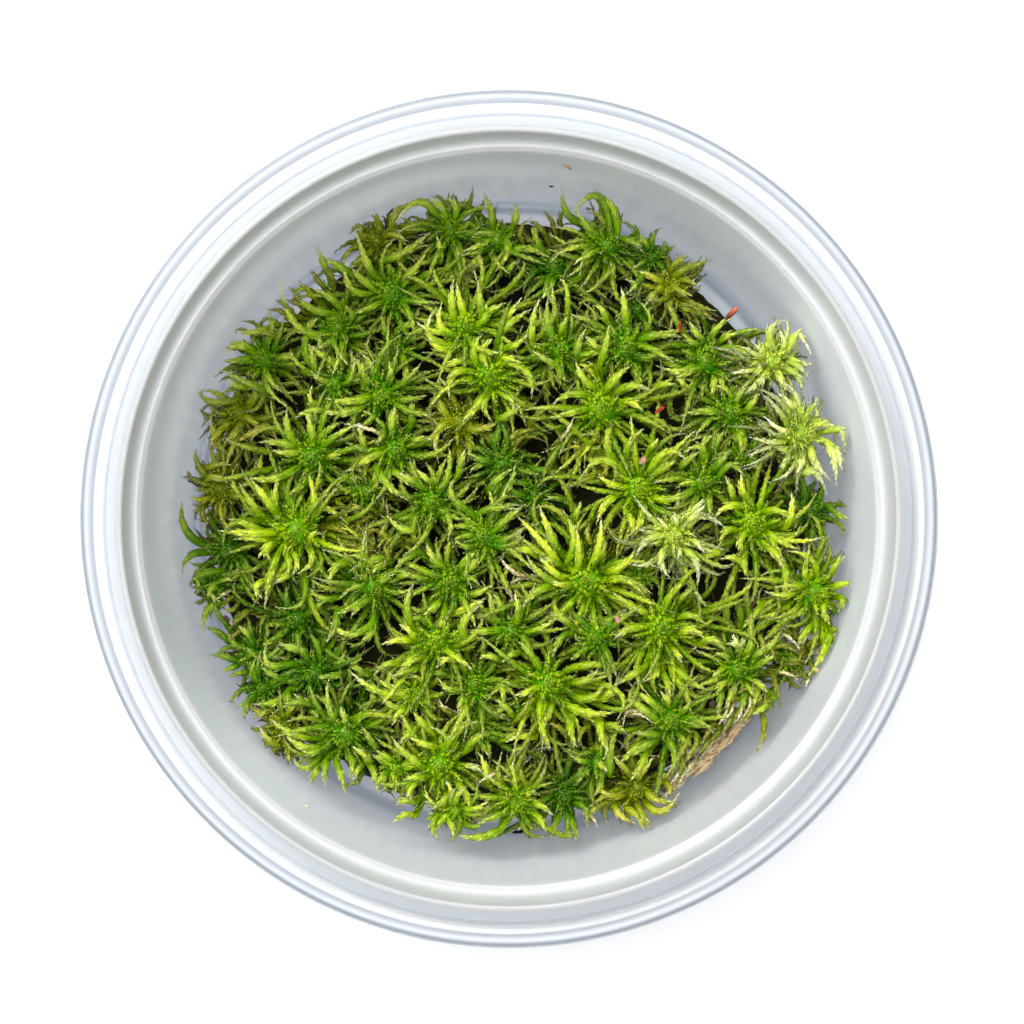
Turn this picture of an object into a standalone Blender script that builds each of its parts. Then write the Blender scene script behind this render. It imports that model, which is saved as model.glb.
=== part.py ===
"""A clump of live sphagnum moss standing in a round translucent tub.

The tub is one turned shell: a floor raised inside a foot ring, a wall that widens upwards, a
stacking ledge, a rim that stands up as a ridge, and a flat flange outside it.
The clump is a mat of tangled old stems on the tub's floor and the green shoots that stand on it.
A shoot is one piece, as it grew: a stem, and on top a head of branches that spread like a star
and droop. Its branches end where those of its neighbours begin.
A sliver of bark leans against the clump's edge, and one bare stalk stands between the shoots.

Metres, +Z up. The origin is the middle of the tub's base, and +Y is the photograph's upper edge.
"""

import collections
import math
import random

import bmesh
import bpy
from mathutils import Matrix, Vector

MM = 0.001
GAP = 0.3 * MM  # what touching pieces keep between their meshes

# The tub. Radii and heights are those of its inner and upper face.
RIM_RADIUS = 58.5 * MM
TUB_HEIGHT = 45.0 * MM
TUB_WALL = 0.8 * MM
CREST_RADIUS = 52.7 * MM
CREST_WIDTH = 0.9 * MM
SKIRT_RADIUS = 55.4 * MM  # where the ridge's outer side meets the flange
FLANGE_HEIGHT = 40.0 * MM
FLANGE_BEAD = 0.5 * MM  # how high the bead on the flange stands
FLANGE_BEAD_WIDTH = 1.2 * MM
FLANGE_DROP = 0.5 * MM  # how much lower the flange's edge lies
LEDGE_HEIGHT = 38.0 * MM
LEDGE_RADIUS = 51.7 * MM
WALL_TOP_RADIUS = 50.9 * MM
WALL_FOOT_RADIUS = 47.4 * MM
FLOOR_HEIGHT = 2.2 * MM
FLOOR_RADIUS = 43.0 * MM
FOOT_INNER_RADIUS = 44.4 * MM
FOOT_OUTER_RADIUS = 46.2 * MM
FOOT_ROUNDING = (0, 45, 86)  # degrees, from the foot ring up to the slanting wall
EDGE_ROUNDING = 0.4 * MM
TUB_STEPS = 56

# The clump
MAT_TOP = 10.0 * MM
MAT_RADIUS = 46.6 * MM
MAT_LUMP = 1.6 * MM
MAT_SIDES = 30
CROWN_HEIGHT = 30.0 * MM  # top of a shoot in the middle of the clump
EDGE_DROP = 4.5 * MM  # how much lower a shoot stands at the clump's edge
LEAN = 2.5 * MM  # how much higher the clump stands at its +X edge than in its middle
CLUMP_RADIUS = 46.0 * MM
WALL_CLEARANCE = 0.6 * MM

# The mat's rings from its top to its bottom: the share of its radius, the height from 1 for its
# top to -1 for its bottom, and whether the ring is lumpy
MatRing = collections.namedtuple("MatRing", "out height lumpy")
MAT_RINGS = [
    MatRing(0.55, 1.0, False),
    MatRing(0.985, 1.0, False),
    MatRing(1.0, 0.3, True),
    MatRing(0.98, -0.5, True),
    MatRing(0.89, -1.0, False),
]

# A head, in shares of the reach of its branches. Each ring is the share at a branch, the share
# between two branches, and how far below the crown the ring lies there.
Ring = collections.namedtuple("Ring", "out between drop_out drop_between")
HEAD_RINGS = [
    Ring(0.18, 0.16, 0.05, 0.07),  # bud
    Ring(0.66, 0.46, 0.10, 0.26),  # shoulder
    Ring(1.00, 0.58, 0.52, 0.56),  # tips
    Ring(0.36, 0.36, 0.00, 0.00),  # foot, at the mat
]
LONG_REACH_PX = 44
LONG_REACH_BRANCHES = 8
SHORT_REACH_BRANCHES = 6
SPREAD = 1.4  # how much further the branches reach where they go down among their neighbours'

# How the photograph was taken: straight down, from a little off the tub's middle
PHOTO_MIDDLE_PX = 512
PIXELS_PER_METRE = 7254  # at the height of the flange
CAMERA_HEIGHT = 440 * MM
CAMERA_X = 0.44 * MM
CAMERA_Y = 0.91 * MM

# What a kind of shoot looks like: how far it stands above its neighbours, and its colour
Kind = collections.namedtuple("Kind", "lift colour")
KINDS = {
    "lime": Kind(1.2 * MM, (0.36, 0.55, 0.03)),
    "green": Kind(0.0 * MM, (0.16, 0.38, 0.02)),
    "deep": Kind(-2.6 * MM, (0.06, 0.19, 0.02)),
    "olive": Kind(-2.2 * MM, (0.25, 0.31, 0.04)),
    "pale": Kind(1.6 * MM, (0.55, 0.68, 0.25)),
}

# The shoots, from the photograph's upper edge to its lower: where a head's middle lies in the
# photograph and how far its branches reach there
Shoot = collections.namedtuple("Shoot", "kind x_px y_px reach_px")
SHOOTS = [
    Shoot("olive", 372, 236, 36),
    Shoot("green", 450, 224, 40),
    Shoot("green", 498, 234, 36),
    Shoot("deep", 556, 262, 42),
    Shoot("green", 613, 240, 42),
    Shoot("deep", 655, 256, 28),
    Shoot("olive", 676, 284, 36),
    Shoot("green", 388, 290, 50),
    Shoot("green", 334, 318, 42),
    Shoot("lime", 466, 322, 44),
    Shoot("lime", 490, 374, 52),
    Shoot("green", 562, 350, 42),
    Shoot("green", 628, 344, 46),
    Shoot("green", 708, 354, 52),
    Shoot("pale", 778, 362, 40),
    Shoot("green", 260, 356, 42),
    Shoot("green", 330, 384, 34),
    Shoot("green", 382, 398, 46),
    Shoot("lime", 600, 404, 54),
    Shoot("green", 735, 412, 42),
    Shoot("pale", 812, 434, 46),
    Shoot("olive", 234, 412, 40),
    Shoot("green", 308, 458, 54),
    Shoot("green", 396, 450, 46),
    Shoot("olive", 462, 424, 40),
    Shoot("deep", 502, 466, 38),
    Shoot("lime", 640, 488, 52),
    Shoot("green", 706, 482, 42),
    Shoot("deep", 816, 508, 38),
    Shoot("olive", 214, 490, 38),
    Shoot("green", 432, 502, 42),
    Shoot("green", 482, 536, 42),
    Shoot("lime", 288, 532, 56),
    Shoot("deep", 226, 552, 40),
    Shoot("lime", 584, 580, 62),
    Shoot("pale", 676, 536, 42),
    Shoot("lime", 754, 522, 54),
    Shoot("lime", 822, 596, 48),
    Shoot("green", 450, 582, 44),
    Shoot("green", 376, 590, 42),
    Shoot("deep", 292, 622, 42),
    Shoot("green", 592, 638, 38),
    Shoot("lime", 662, 626, 54),
    Shoot("green", 510, 636, 38),
    Shoot("lime", 436, 640, 44),
    Shoot("green", 742, 670, 44),
    Shoot("deep", 310, 676, 42),
    Shoot("green", 476, 682, 40),
    Shoot("lime", 552, 682, 56),
    Shoot("green", 672, 722, 44),
    Shoot("olive", 280, 728, 34),
    Shoot("green", 342, 742, 50),
    Shoot("lime", 440, 768, 52),
    Shoot("lime", 518, 808, 36),
    Shoot("deep", 564, 798, 42),
    Shoot("olive", 638, 794, 42),
]

# The bark sliver and the bare stalk, which the shoots leave room for
Place = collections.namedtuple("Place", "x_px y_px reach_px")
BARK = [Place(684, 776, 12), Place(714, 746, 12), Place(744, 716, 12)]
BARK_THICKNESS = 1.7 * MM
BARK_FOOT = 10.4 * MM
BARK_RISE = 8.0 * MM
BARK_CUTS = 5
BARK_TAPER = 1.6  # how strongly the sliver narrows towards its ends
BARK_THIN_END = 0.5
BARK_RAGGED = 0.7 * MM
STALK = Place(736, 310, 7)
STALK_RADIUS = 0.65 * MM
STALK_TOP = 24.0 * MM
STALK_BEND = 1.0 * MM
STALK_TIP = 2.0 * MM
STALK_TIP_WIDTH = 0.6


def start():
    """Clears the scene and gives the collection that the object's pieces go in."""
    for old in list(bpy.data.objects):
        bpy.data.objects.remove(old, do_unlink=True)
    collection = bpy.data.collections.new("moss_clump")
    bpy.context.scene.collection.children.link(collection)
    return collection


def finish_of(name, colour, roughness, alpha=1.0):
    """A material with one colour."""
    material = bpy.data.materials.new(name)
    material.use_nodes = True
    shader = material.node_tree.nodes["Principled BSDF"]
    shader.inputs["Base Color"].default_value = (*colour, 1.0)
    shader.inputs["Roughness"].default_value = roughness
    shader.inputs["Metallic"].default_value = 0.0
    shader.inputs["Alpha"].default_value = alpha
    return material


def object_from(name, shape, material, collection):
    """Puts a bmesh in the scene as one object."""
    mesh = bpy.data.meshes.new(name)
    shape.to_mesh(mesh)
    shape.free()
    mesh.materials.append(material)
    piece = bpy.data.objects.new(name, mesh)
    collection.objects.link(piece)
    return piece


def place_of(spot, height):
    """Where something in the photograph stands on the object, if it is at this height."""
    metres_per_pixel = (CAMERA_HEIGHT - height) / (CAMERA_HEIGHT - FLANGE_HEIGHT) / PIXELS_PER_METRE
    return Vector(
        (
            (spot.x_px - PHOTO_MIDDLE_PX) * metres_per_pixel + CAMERA_X,
            (PHOTO_MIDDLE_PX - spot.y_px) * metres_per_pixel + CAMERA_Y,
        )
    )


def wall_radius(height):
    """The inner radius of the tub's wall."""
    share = (height - FLOOR_HEIGHT) / (LEDGE_HEIGHT - FLOOR_HEIGHT)
    return WALL_FOOT_RADIUS + share * (WALL_TOP_RADIUS - WALL_FOOT_RADIUS)


def tub_section():
    """The tub's inner and upper face as radius and height, from the floor's middle to the flange's edge."""
    foot = TUB_WALL
    corner = WALL_FOOT_RADIUS - FOOT_OUTER_RADIUS
    rounding = [
        (
            FOOT_OUTER_RADIUS + corner * math.sin(math.radians(angle)),
            foot + corner * (1 - math.cos(math.radians(angle))),
        )
        for angle in FOOT_ROUNDING
    ]
    outer_crest = CREST_RADIUS + CREST_WIDTH
    return [
        (0, FLOOR_HEIGHT),
        (FLOOR_RADIUS, FLOOR_HEIGHT),
        (FOOT_INNER_RADIUS, foot),
        *rounding,
        (WALL_TOP_RADIUS, LEDGE_HEIGHT - EDGE_ROUNDING),
        (LEDGE_RADIUS, LEDGE_HEIGHT + EDGE_ROUNDING / 2),
        (CREST_RADIUS, TUB_HEIGHT - EDGE_ROUNDING),
        ((CREST_RADIUS + outer_crest) / 2, TUB_HEIGHT),
        (outer_crest, TUB_HEIGHT - EDGE_ROUNDING),
        (SKIRT_RADIUS, FLANGE_HEIGHT + EDGE_ROUNDING),
        (SKIRT_RADIUS + FLANGE_BEAD_WIDTH / 2, FLANGE_HEIGHT + FLANGE_BEAD),
        (SKIRT_RADIUS + FLANGE_BEAD_WIDTH, FLANGE_HEIGHT),
        (RIM_RADIUS, FLANGE_HEIGHT - FLANGE_DROP),
    ]


def tub(collection):
    """The turned shell: its section swept round the axis, then given the wall's thickness."""
    section = tub_section()
    mesh = bpy.data.meshes.new("tub")
    edges = [(point, point + 1) for point in range(len(section) - 1)]
    mesh.from_pydata([(radius, 0, height) for radius, height in section], edges, [])
    mesh.materials.append(finish_of("tub_plastic", (0.80, 0.83, 0.85), 0.3, alpha=0.55))
    piece = bpy.data.objects.new("tub", mesh)
    collection.objects.link(piece)
    turn = piece.modifiers.new("turn", "SCREW")
    turn.axis = "Z"
    turn.angle = math.tau
    turn.steps = turn.render_steps = TUB_STEPS
    turn.use_merge_vertices = True
    turn.merge_threshold = 0.00001
    turn.use_smooth_shade = True
    wall = piece.modifiers.new("wall", "SOLIDIFY")
    wall.thickness = TUB_WALL
    wall.offset = -1
    wall.use_even_offset = True
    return piece


def sphere_rings(shape, sides, rings):
    """Makes a sphere, and gives each vertex with its ring, None at the poles, and its side."""
    bands = len(rings) + 1
    bmesh.ops.create_uvsphere(shape, u_segments=sides, v_segments=bands, radius=1)
    for vertex in shape.verts:
        level = round(math.acos(max(-1.0, min(1.0, vertex.co.z))) / math.pi * bands)
        side = round(math.atan2(vertex.co.y, vertex.co.x) / math.tau * sides) % sides
        yield vertex, rings[level - 1] if 0 < level < bands else None, side


def crown_height(shoot):
    """The height of a shoot's top: the clump is a low dome, a little higher at its +X edge."""
    middle = place_of(shoot, CROWN_HEIGHT - EDGE_DROP)
    dome = CROWN_HEIGHT - EDGE_DROP * (middle.length / CLUMP_RADIUS) ** 2
    return dome + LEAN * middle.x / CLUMP_RADIUS + KINDS[shoot.kind].lift


def room(spot, middle, direction, others, radius):
    """How far from its middle a piece may go in a direction before it meets a neighbour or the wall."""
    along = middle.dot(direction)
    best = -along + math.sqrt(along**2 + radius**2 - middle.length_squared)
    for other, place in others:
        apart = place - middle
        facing = apart.dot(direction)
        if facing > 0:
            border = apart.length * spot.reach_px / (spot.reach_px + other.reach_px) - GAP / 2
            best = min(best, border * apart.length / facing)
    return best


def shoot_piece(name, shoot, others, finishes, collection):
    """One shoot: a sphere whose rings are pulled out to a star of drooping branches on a stem."""
    top = crown_height(shoot)
    middle = place_of(shoot, top)
    metres_per_pixel = (CAMERA_HEIGHT - top) / (CAMERA_HEIGHT - FLANGE_HEIGHT) / PIXELS_PER_METRE
    reach = shoot.reach_px * metres_per_pixel
    branches = LONG_REACH_BRANCHES if shoot.reach_px >= LONG_REACH_PX else SHORT_REACH_BRANCHES
    sides = 2 * branches
    radius = wall_radius(top - reach) - WALL_CLEARANCE
    first = random.Random(name).uniform(0, math.tau)
    limits = []
    for side in range(sides):
        turned = first + math.tau * side / sides
        direction = Vector((math.cos(turned), math.sin(turned)))
        free = room(shoot, middle, direction, others, radius)
        limits.append((direction, free if free < SPREAD * reach else reach))

    foot = MAT_TOP + GAP
    shape = bmesh.new()
    for vertex, ring, side in sphere_rings(shape, sides, HEAD_RINGS):
        if ring is None:
            vertex.co = Vector((*middle, top if vertex.co.z > 0 else foot))
            continue
        direction, limit = limits[side]
        is_branch = side % 2 == 0
        share = ring.out if is_branch else ring.between
        drop = (ring.drop_out if is_branch else ring.drop_between) * reach
        height = foot if ring is HEAD_RINGS[-1] else top - drop
        vertex.co = Vector((*(middle + direction * limit * share), height))
    return object_from(name, shape, finishes[shoot.kind], collection)


def stem_mat(collection):
    """The tangled old stems, one disc on the tub's floor with a flat top and a lumpy side."""
    chance = random.Random("stem_mat")
    bottom = FLOOR_HEIGHT + GAP
    middle = (MAT_TOP + bottom) / 2
    half = (MAT_TOP - bottom) / 2
    shape = bmesh.new()
    for vertex, ring, side in sphere_rings(shape, MAT_SIDES, MAT_RINGS):
        if ring is None:
            vertex.co = Vector((0, 0, middle + math.copysign(half, vertex.co.z)))
            continue
        turned = math.tau * side / MAT_SIDES
        lump = chance.uniform(0, MAT_LUMP) if ring.lumpy else 0
        width = MAT_RADIUS * ring.out - lump
        height = middle + ring.height * half
        vertex.co = Vector((width * math.cos(turned), width * math.sin(turned), height))
    finish = finish_of("old_stems", (0.20, 0.13, 0.05), 0.9)
    return object_from("stem_mat", shape, finish, collection)


def bark_sliver(collection):
    """A thin plank of bark with ragged ends, standing on the mat against the clump's edge."""
    ends = [place_of(spot, BARK_FOOT + BARK_RISE) for spot in (BARK[0], BARK[-1])]
    run = ends[1] - ends[0]
    shape = bmesh.new()
    bmesh.ops.create_cube(shape, size=1)
    long_edges = [
        edge for edge in shape.edges if abs(edge.verts[0].co.x - edge.verts[1].co.x) > 0.5
    ]
    bmesh.ops.subdivide_edges(shape, edges=long_edges, cuts=BARK_CUTS, use_grid_fill=True)
    chance = random.Random("bark_sliver")
    turn = Matrix.Rotation(math.atan2(run.y, run.x), 3, "Z")
    centre = (ends[0] + ends[1]) / 2
    for vertex in shape.verts:
        taper = 1 - vertex.co.x**2 * BARK_TAPER
        along = vertex.co.x * run.length + chance.uniform(-BARK_RAGGED, BARK_RAGGED)
        across = vertex.co.y * BARK_THICKNESS * max(BARK_THIN_END, taper)
        up = (vertex.co.z + 0.5) * (BARK_RISE * taper + chance.uniform(-BARK_RAGGED, BARK_RAGGED))
        vertex.co = turn @ Vector((along, across, up)) + Vector((*centre, BARK_FOOT))
    return object_from("bark_sliver", shape, finish_of("bark", (0.72, 0.45, 0.20), 0.85), collection)


def red_stalk(collection):
    """A thin bare stalk with a rounded red tip."""
    top = place_of(STALK, STALK_TOP)
    foot = top * (1 - STALK_BEND / top.length)
    curve = bpy.data.curves.new("red_stalk", "CURVE")
    curve.dimensions = "3D"
    curve.bevel_depth = STALK_RADIUS
    curve.bevel_resolution = 1
    curve.use_fill_caps = True
    points = [
        Vector((*foot, MAT_TOP + GAP)),
        Vector((*foot.lerp(top, 0.25), (MAT_TOP + STALK_TOP) / 2)),
        Vector((*foot.lerp(top, 0.8), STALK_TOP - STALK_TIP)),
        Vector((*top, STALK_TOP)),
    ]
    line = curve.splines.new("POLY")
    line.points.add(len(points) - 1)
    for point, place in zip(line.points, points):
        point.co = (*place, 1)
    line.points[-1].radius = STALK_TIP_WIDTH
    curve.materials.append(finish_of("red_stalk", (0.55, 0.13, 0.05), 0.5))
    piece = bpy.data.objects.new("red_stalk", curve)
    collection.objects.link(piece)
    return piece


def main():
    collection = start()
    tub(collection)
    stem_mat(collection)
    bark_sliver(collection)
    red_stalk(collection)
    finishes = {kind: finish_of(f"{kind}_shoot", look.colour, 0.6) for kind, look in KINDS.items()}
    litter = [(spot, place_of(spot, BARK_FOOT + BARK_RISE)) for spot in BARK]
    litter.append((STALK, place_of(STALK, STALK_TOP)))
    places = [(shoot, place_of(shoot, crown_height(shoot))) for shoot in SHOOTS]
    for number, (shoot, place) in enumerate(places, start=1):
        others = [entry for entry in places if entry[0] is not shoot] + litter
        name = f"{shoot.kind}_shoot_{number:02d}"
        shoot_piece(name, shoot, others, finishes, collection)


main()
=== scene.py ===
import collections
import math
import random

import bmesh
import bpy
from mathutils import Euler, Matrix, Vector
from mathutils.bvhtree import BVHTree


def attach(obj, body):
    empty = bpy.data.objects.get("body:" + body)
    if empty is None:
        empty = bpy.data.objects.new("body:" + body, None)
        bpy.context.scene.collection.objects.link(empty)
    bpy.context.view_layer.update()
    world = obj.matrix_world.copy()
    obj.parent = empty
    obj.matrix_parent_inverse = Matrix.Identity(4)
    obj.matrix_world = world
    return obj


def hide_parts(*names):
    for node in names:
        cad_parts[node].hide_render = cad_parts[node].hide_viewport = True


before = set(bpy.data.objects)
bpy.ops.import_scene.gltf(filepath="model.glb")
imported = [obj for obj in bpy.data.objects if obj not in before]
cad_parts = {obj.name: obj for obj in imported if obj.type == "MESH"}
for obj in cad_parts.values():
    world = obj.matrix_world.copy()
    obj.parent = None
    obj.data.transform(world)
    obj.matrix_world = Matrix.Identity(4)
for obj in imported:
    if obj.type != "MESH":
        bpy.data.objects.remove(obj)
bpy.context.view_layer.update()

MM = 0.001
UP = Vector((0, 0, 1))

# How the photograph was taken: straight down, from a little off the tub's middle
CAMERA_PLACE = Vector((0.44 * MM, 0.91 * MM, 440 * MM))
PHOTO_SIDE_PX = 1024
PIXELS_PER_METRE = 7254  # at the height of the flange
FLANGE_HEIGHT = 40.0 * MM
SENSOR = 36.0

# The tub: its inner and upper line as radius, height and the rounding of the corner there
Corner = collections.namedtuple("Corner", "radius height rounding")
TUB_LINE = [
    Corner(0.0, 2.2, 0.0),
    Corner(43.0, 2.2, 1.2),
    Corner(44.4, 0.8, 0.9),
    Corner(47.3, 0.8, 1.2),
    Corner(50.9, 37.9, 0.35),
    Corner(51.7, 38.2, 0.35),
    Corner(52.75, 45.0, 0.38),
    Corner(53.55, 45.0, 0.38),
    Corner(55.4, 40.1, 0.3),
    Corner(55.7, 40.45, 0.25),
    Corner(56.3, 40.45, 0.3),
    Corner(56.6, 40.0, 0.3),
    Corner(58.5, 41.7, 0.0),
]
TUB_WALL = 0.8 * MM
TUB_STEPS = 224
FLOOR_HEIGHT = 2.2 * MM
WALL_FOOT_RADIUS = 47.4 * MM
WALL_TOP_RADIUS = 50.9 * MM
WALL_TOP_HEIGHT = 38.0 * MM
WALL_CLEARANCE = 0.45 * MM

# The clump
MAT_TOP = 10.0 * MM
HEAD_DROP = 0.56  # the lowest ring of a shoot's solid lies this share of its reach below its top
CLUMP_RADIUS = 46.0 * MM
EDGE_LEAN = math.radians(26)  # how far a head at the clump's edge leans outwards
CHANCE_LEAN = math.radians(9)
STEM_RADIUS = 0.42 * MM
STEM_LEAF = 0.9 * MM
STEM_DRIFT = 1.2 * MM
STEM_SUNK = 1.5 * MM
STEM_CLEARANCE = 0.4 * MM

# A whorl of branches: how many clusters, where they leave the stem and how they run. Lengths are
# shares of the head's reach, and angles are degrees above the horizontal.
Whorl = collections.namedtuple(
    "Whorl", "clusters start drop length spread rise fall sway width leaf points age"
)
HEAD_WHORLS = [
    Whorl(4.2, 0.20, 0.34, 0.92, 0.22, 44, -44, 1.00, 0.60, 1.40, 10, 0.00),
    Whorl(5.0, 0.10, 0.54, 1.24, 0.28, 30, -40, 1.00, 0.56, 1.40, 9, 0.06),
]
CLUSTER_SIZES = (1, 2, 2)
CLUSTER_FAN = 0.36
# By how many degrees a branch strays from the slopes of its whorl at its foot and at its end
RISE_STRAY = (-14, 14)
FALL_STRAY = (-26, 22)
BUD_COUNT = 17
BUD_LENGTH = 0.34
BUD_WIDTH = 0.34
BUD_LEAF = 0.95
BUD_RUFFLE = 0.34
BUD_PALENESS = 0.62  # how far the bud's branches run towards the pale colours of a long branch's tip
DOME_RADIUS = 0.31
DOME_HEIGHT = 0.44
DOME_DROP = 0.09
DOME_PALENESS = 0.26
# The fine leaves that stand out all round the dome
TUFT_RADIUS = 0.16 * MM
TUFT_FOOT = 0.50
TUFT_HEIGHT = 0.28
TUFT_LEAF = 0.40
TUFT_BLADE = 0.80 * MM
TUFT_LEAF_SPACING = 0.022 * MM
TUFT_PALENESS = 0.31
TUFT_STRAY = 0.45
# The whorls below the head, from the upper to the lower
LOWER_WHORLS = [
    Whorl(5.0, 0.05, 0.80, 1.34, 0.25, 24, -38, 1.00, 0.54, 1.40, 9, 0.14),
    Whorl(4.0, 0.05, 1.15, 1.30, 0.30, 18, -40, 1.00, 0.54, 1.35, 8, 0.30),
    Whorl(2.4, 0.05, 1.65, 1.20, 0.30, 4, -44, 0.90, 0.50, 1.30, 6, 0.60),
]
# Old branches round the foot of the heads at the clump's edge
EDGE_WHORL = Whorl(7.0, 0.25, 0.90, 0.90, 0.25, 34, -34, 0.90, 0.46, 1.30, 7, 0.62)
EDGE_FROM = 31.0 * MM
# Branches that fill the gaps between the heads
GAP_PITCH = 3.0 * MM
GAP_FROM = 0.60  # a gap starts at this share of the reach of every head near it
GAP_DROP = 0.42
GAP_WIDTH = 0.54

RUFFLE = {"straw": 0.10, "lime": 0.14, "green": 0.10, "deep": 0.10, "olive": 0.22, "pale": 0.45}
LEAF_SPACING = 0.42 * MM
BUD_LEAF_SPACING = 0.26 * MM
LOWER_LEAF_SPACING = 0.50 * MM
LEAF_WIDTH = 0.80 * MM
LEAF_TURN = math.radians(144)  # five rows of leaves
GOLDEN_TURN = math.pi * (3 - math.sqrt(5))

# Side heads that grow below the main ones: the shoot that bears each, its place in the photograph,
# its reach in pixels and how far it sits below the shoot's own head
SideHead = collections.namedtuple("SideHead", "x y reach drop")
SIDE_HEADS = {
    "deep_shoot_06": [SideHead(640, 306, 30, 2.6)],
    "green_shoot_18": [SideHead(394, 346, 34, 2.8)],
    "deep_shoot_26": [SideHead(538, 496, 34, 1.6)],
    "green_shoot_40": [SideHead(366, 494, 36, 3.0)],
    "green_shoot_48": [SideHead(475, 726, 34, 2.4)],
    "lime_shoot_45": [SideHead(420, 695, 30, 3.2)],
    "deep_shoot_47": [SideHead(262, 690, 30, 2.0)],
    "deep_shoot_41": [SideHead(250, 655, 30, 2.2)],
    "deep_shoot_34": [SideHead(212, 588, 26, 1.2)],
    "green_shoot_42": [SideHead(640, 575, 27, 2.6)],
    "green_shoot_28": [SideHead(745, 455, 30, 3.0)],
    "green_shoot_50": [SideHead(600, 762, 30, 2.6)],
    "green_shoot_46": [SideHead(796, 662, 28, 3.4)],
    "lime_shoot_53": [SideHead(395, 770, 28, 3.0)],
    "lime_shoot_54": [SideHead(455, 814, 28, 1.6)],
}

# The look of a kind of shoot: the colours from its heart to the tips of its leaves
Look = collections.namedtuple("Look", "heart body light tip")
LOOKS = {
    "lime": Look((0.11, 0.43, 0.001), (0.30, 0.52, 0.001), (0.60, 0.75, 0.04), (0.96, 1.00, 0.50)),
    "green": Look((0.05, 0.32, 0.001), (0.175, 0.37, 0.001), (0.48, 0.63, 0.04), (0.94, 1.00, 0.48)),
    "deep": Look((0.02, 0.19, 0.001), (0.09, 0.26, 0.001), (0.34, 0.52, 0.025), (0.80, 0.92, 0.36)),
    "olive": Look((0.12, 0.25, 0.001), (0.26, 0.33, 0.002), (0.53, 0.59, 0.05), (0.90, 0.92, 0.52)),
    "pale": Look((0.34, 0.58, 0.01), (0.62, 0.80, 0.09), (0.84, 0.91, 0.36), (1.00, 1.00, 0.76)),
    "straw": Look((0.52, 0.48, 0.15), (0.70, 0.64, 0.26), (0.86, 0.80, 0.44), (1.00, 0.96, 0.66)),
}
OLD_GREEN = (0.24, 0.24, 0.008)
OLD_BROWN = (0.15, 0.08, 0.01)
# peat colours, darkened to near black as painted shade for the deep gaps between the heads
PEAT_AND_PAINTED_SHADE = (0.006, 0.010, 0.001)
LIGHTER_PEAT_AND_PAINTED_SHADE = (0.045, 0.048, 0.004)
LEAF_GLOSS = (1.0, 1.0, 0.40)
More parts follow.
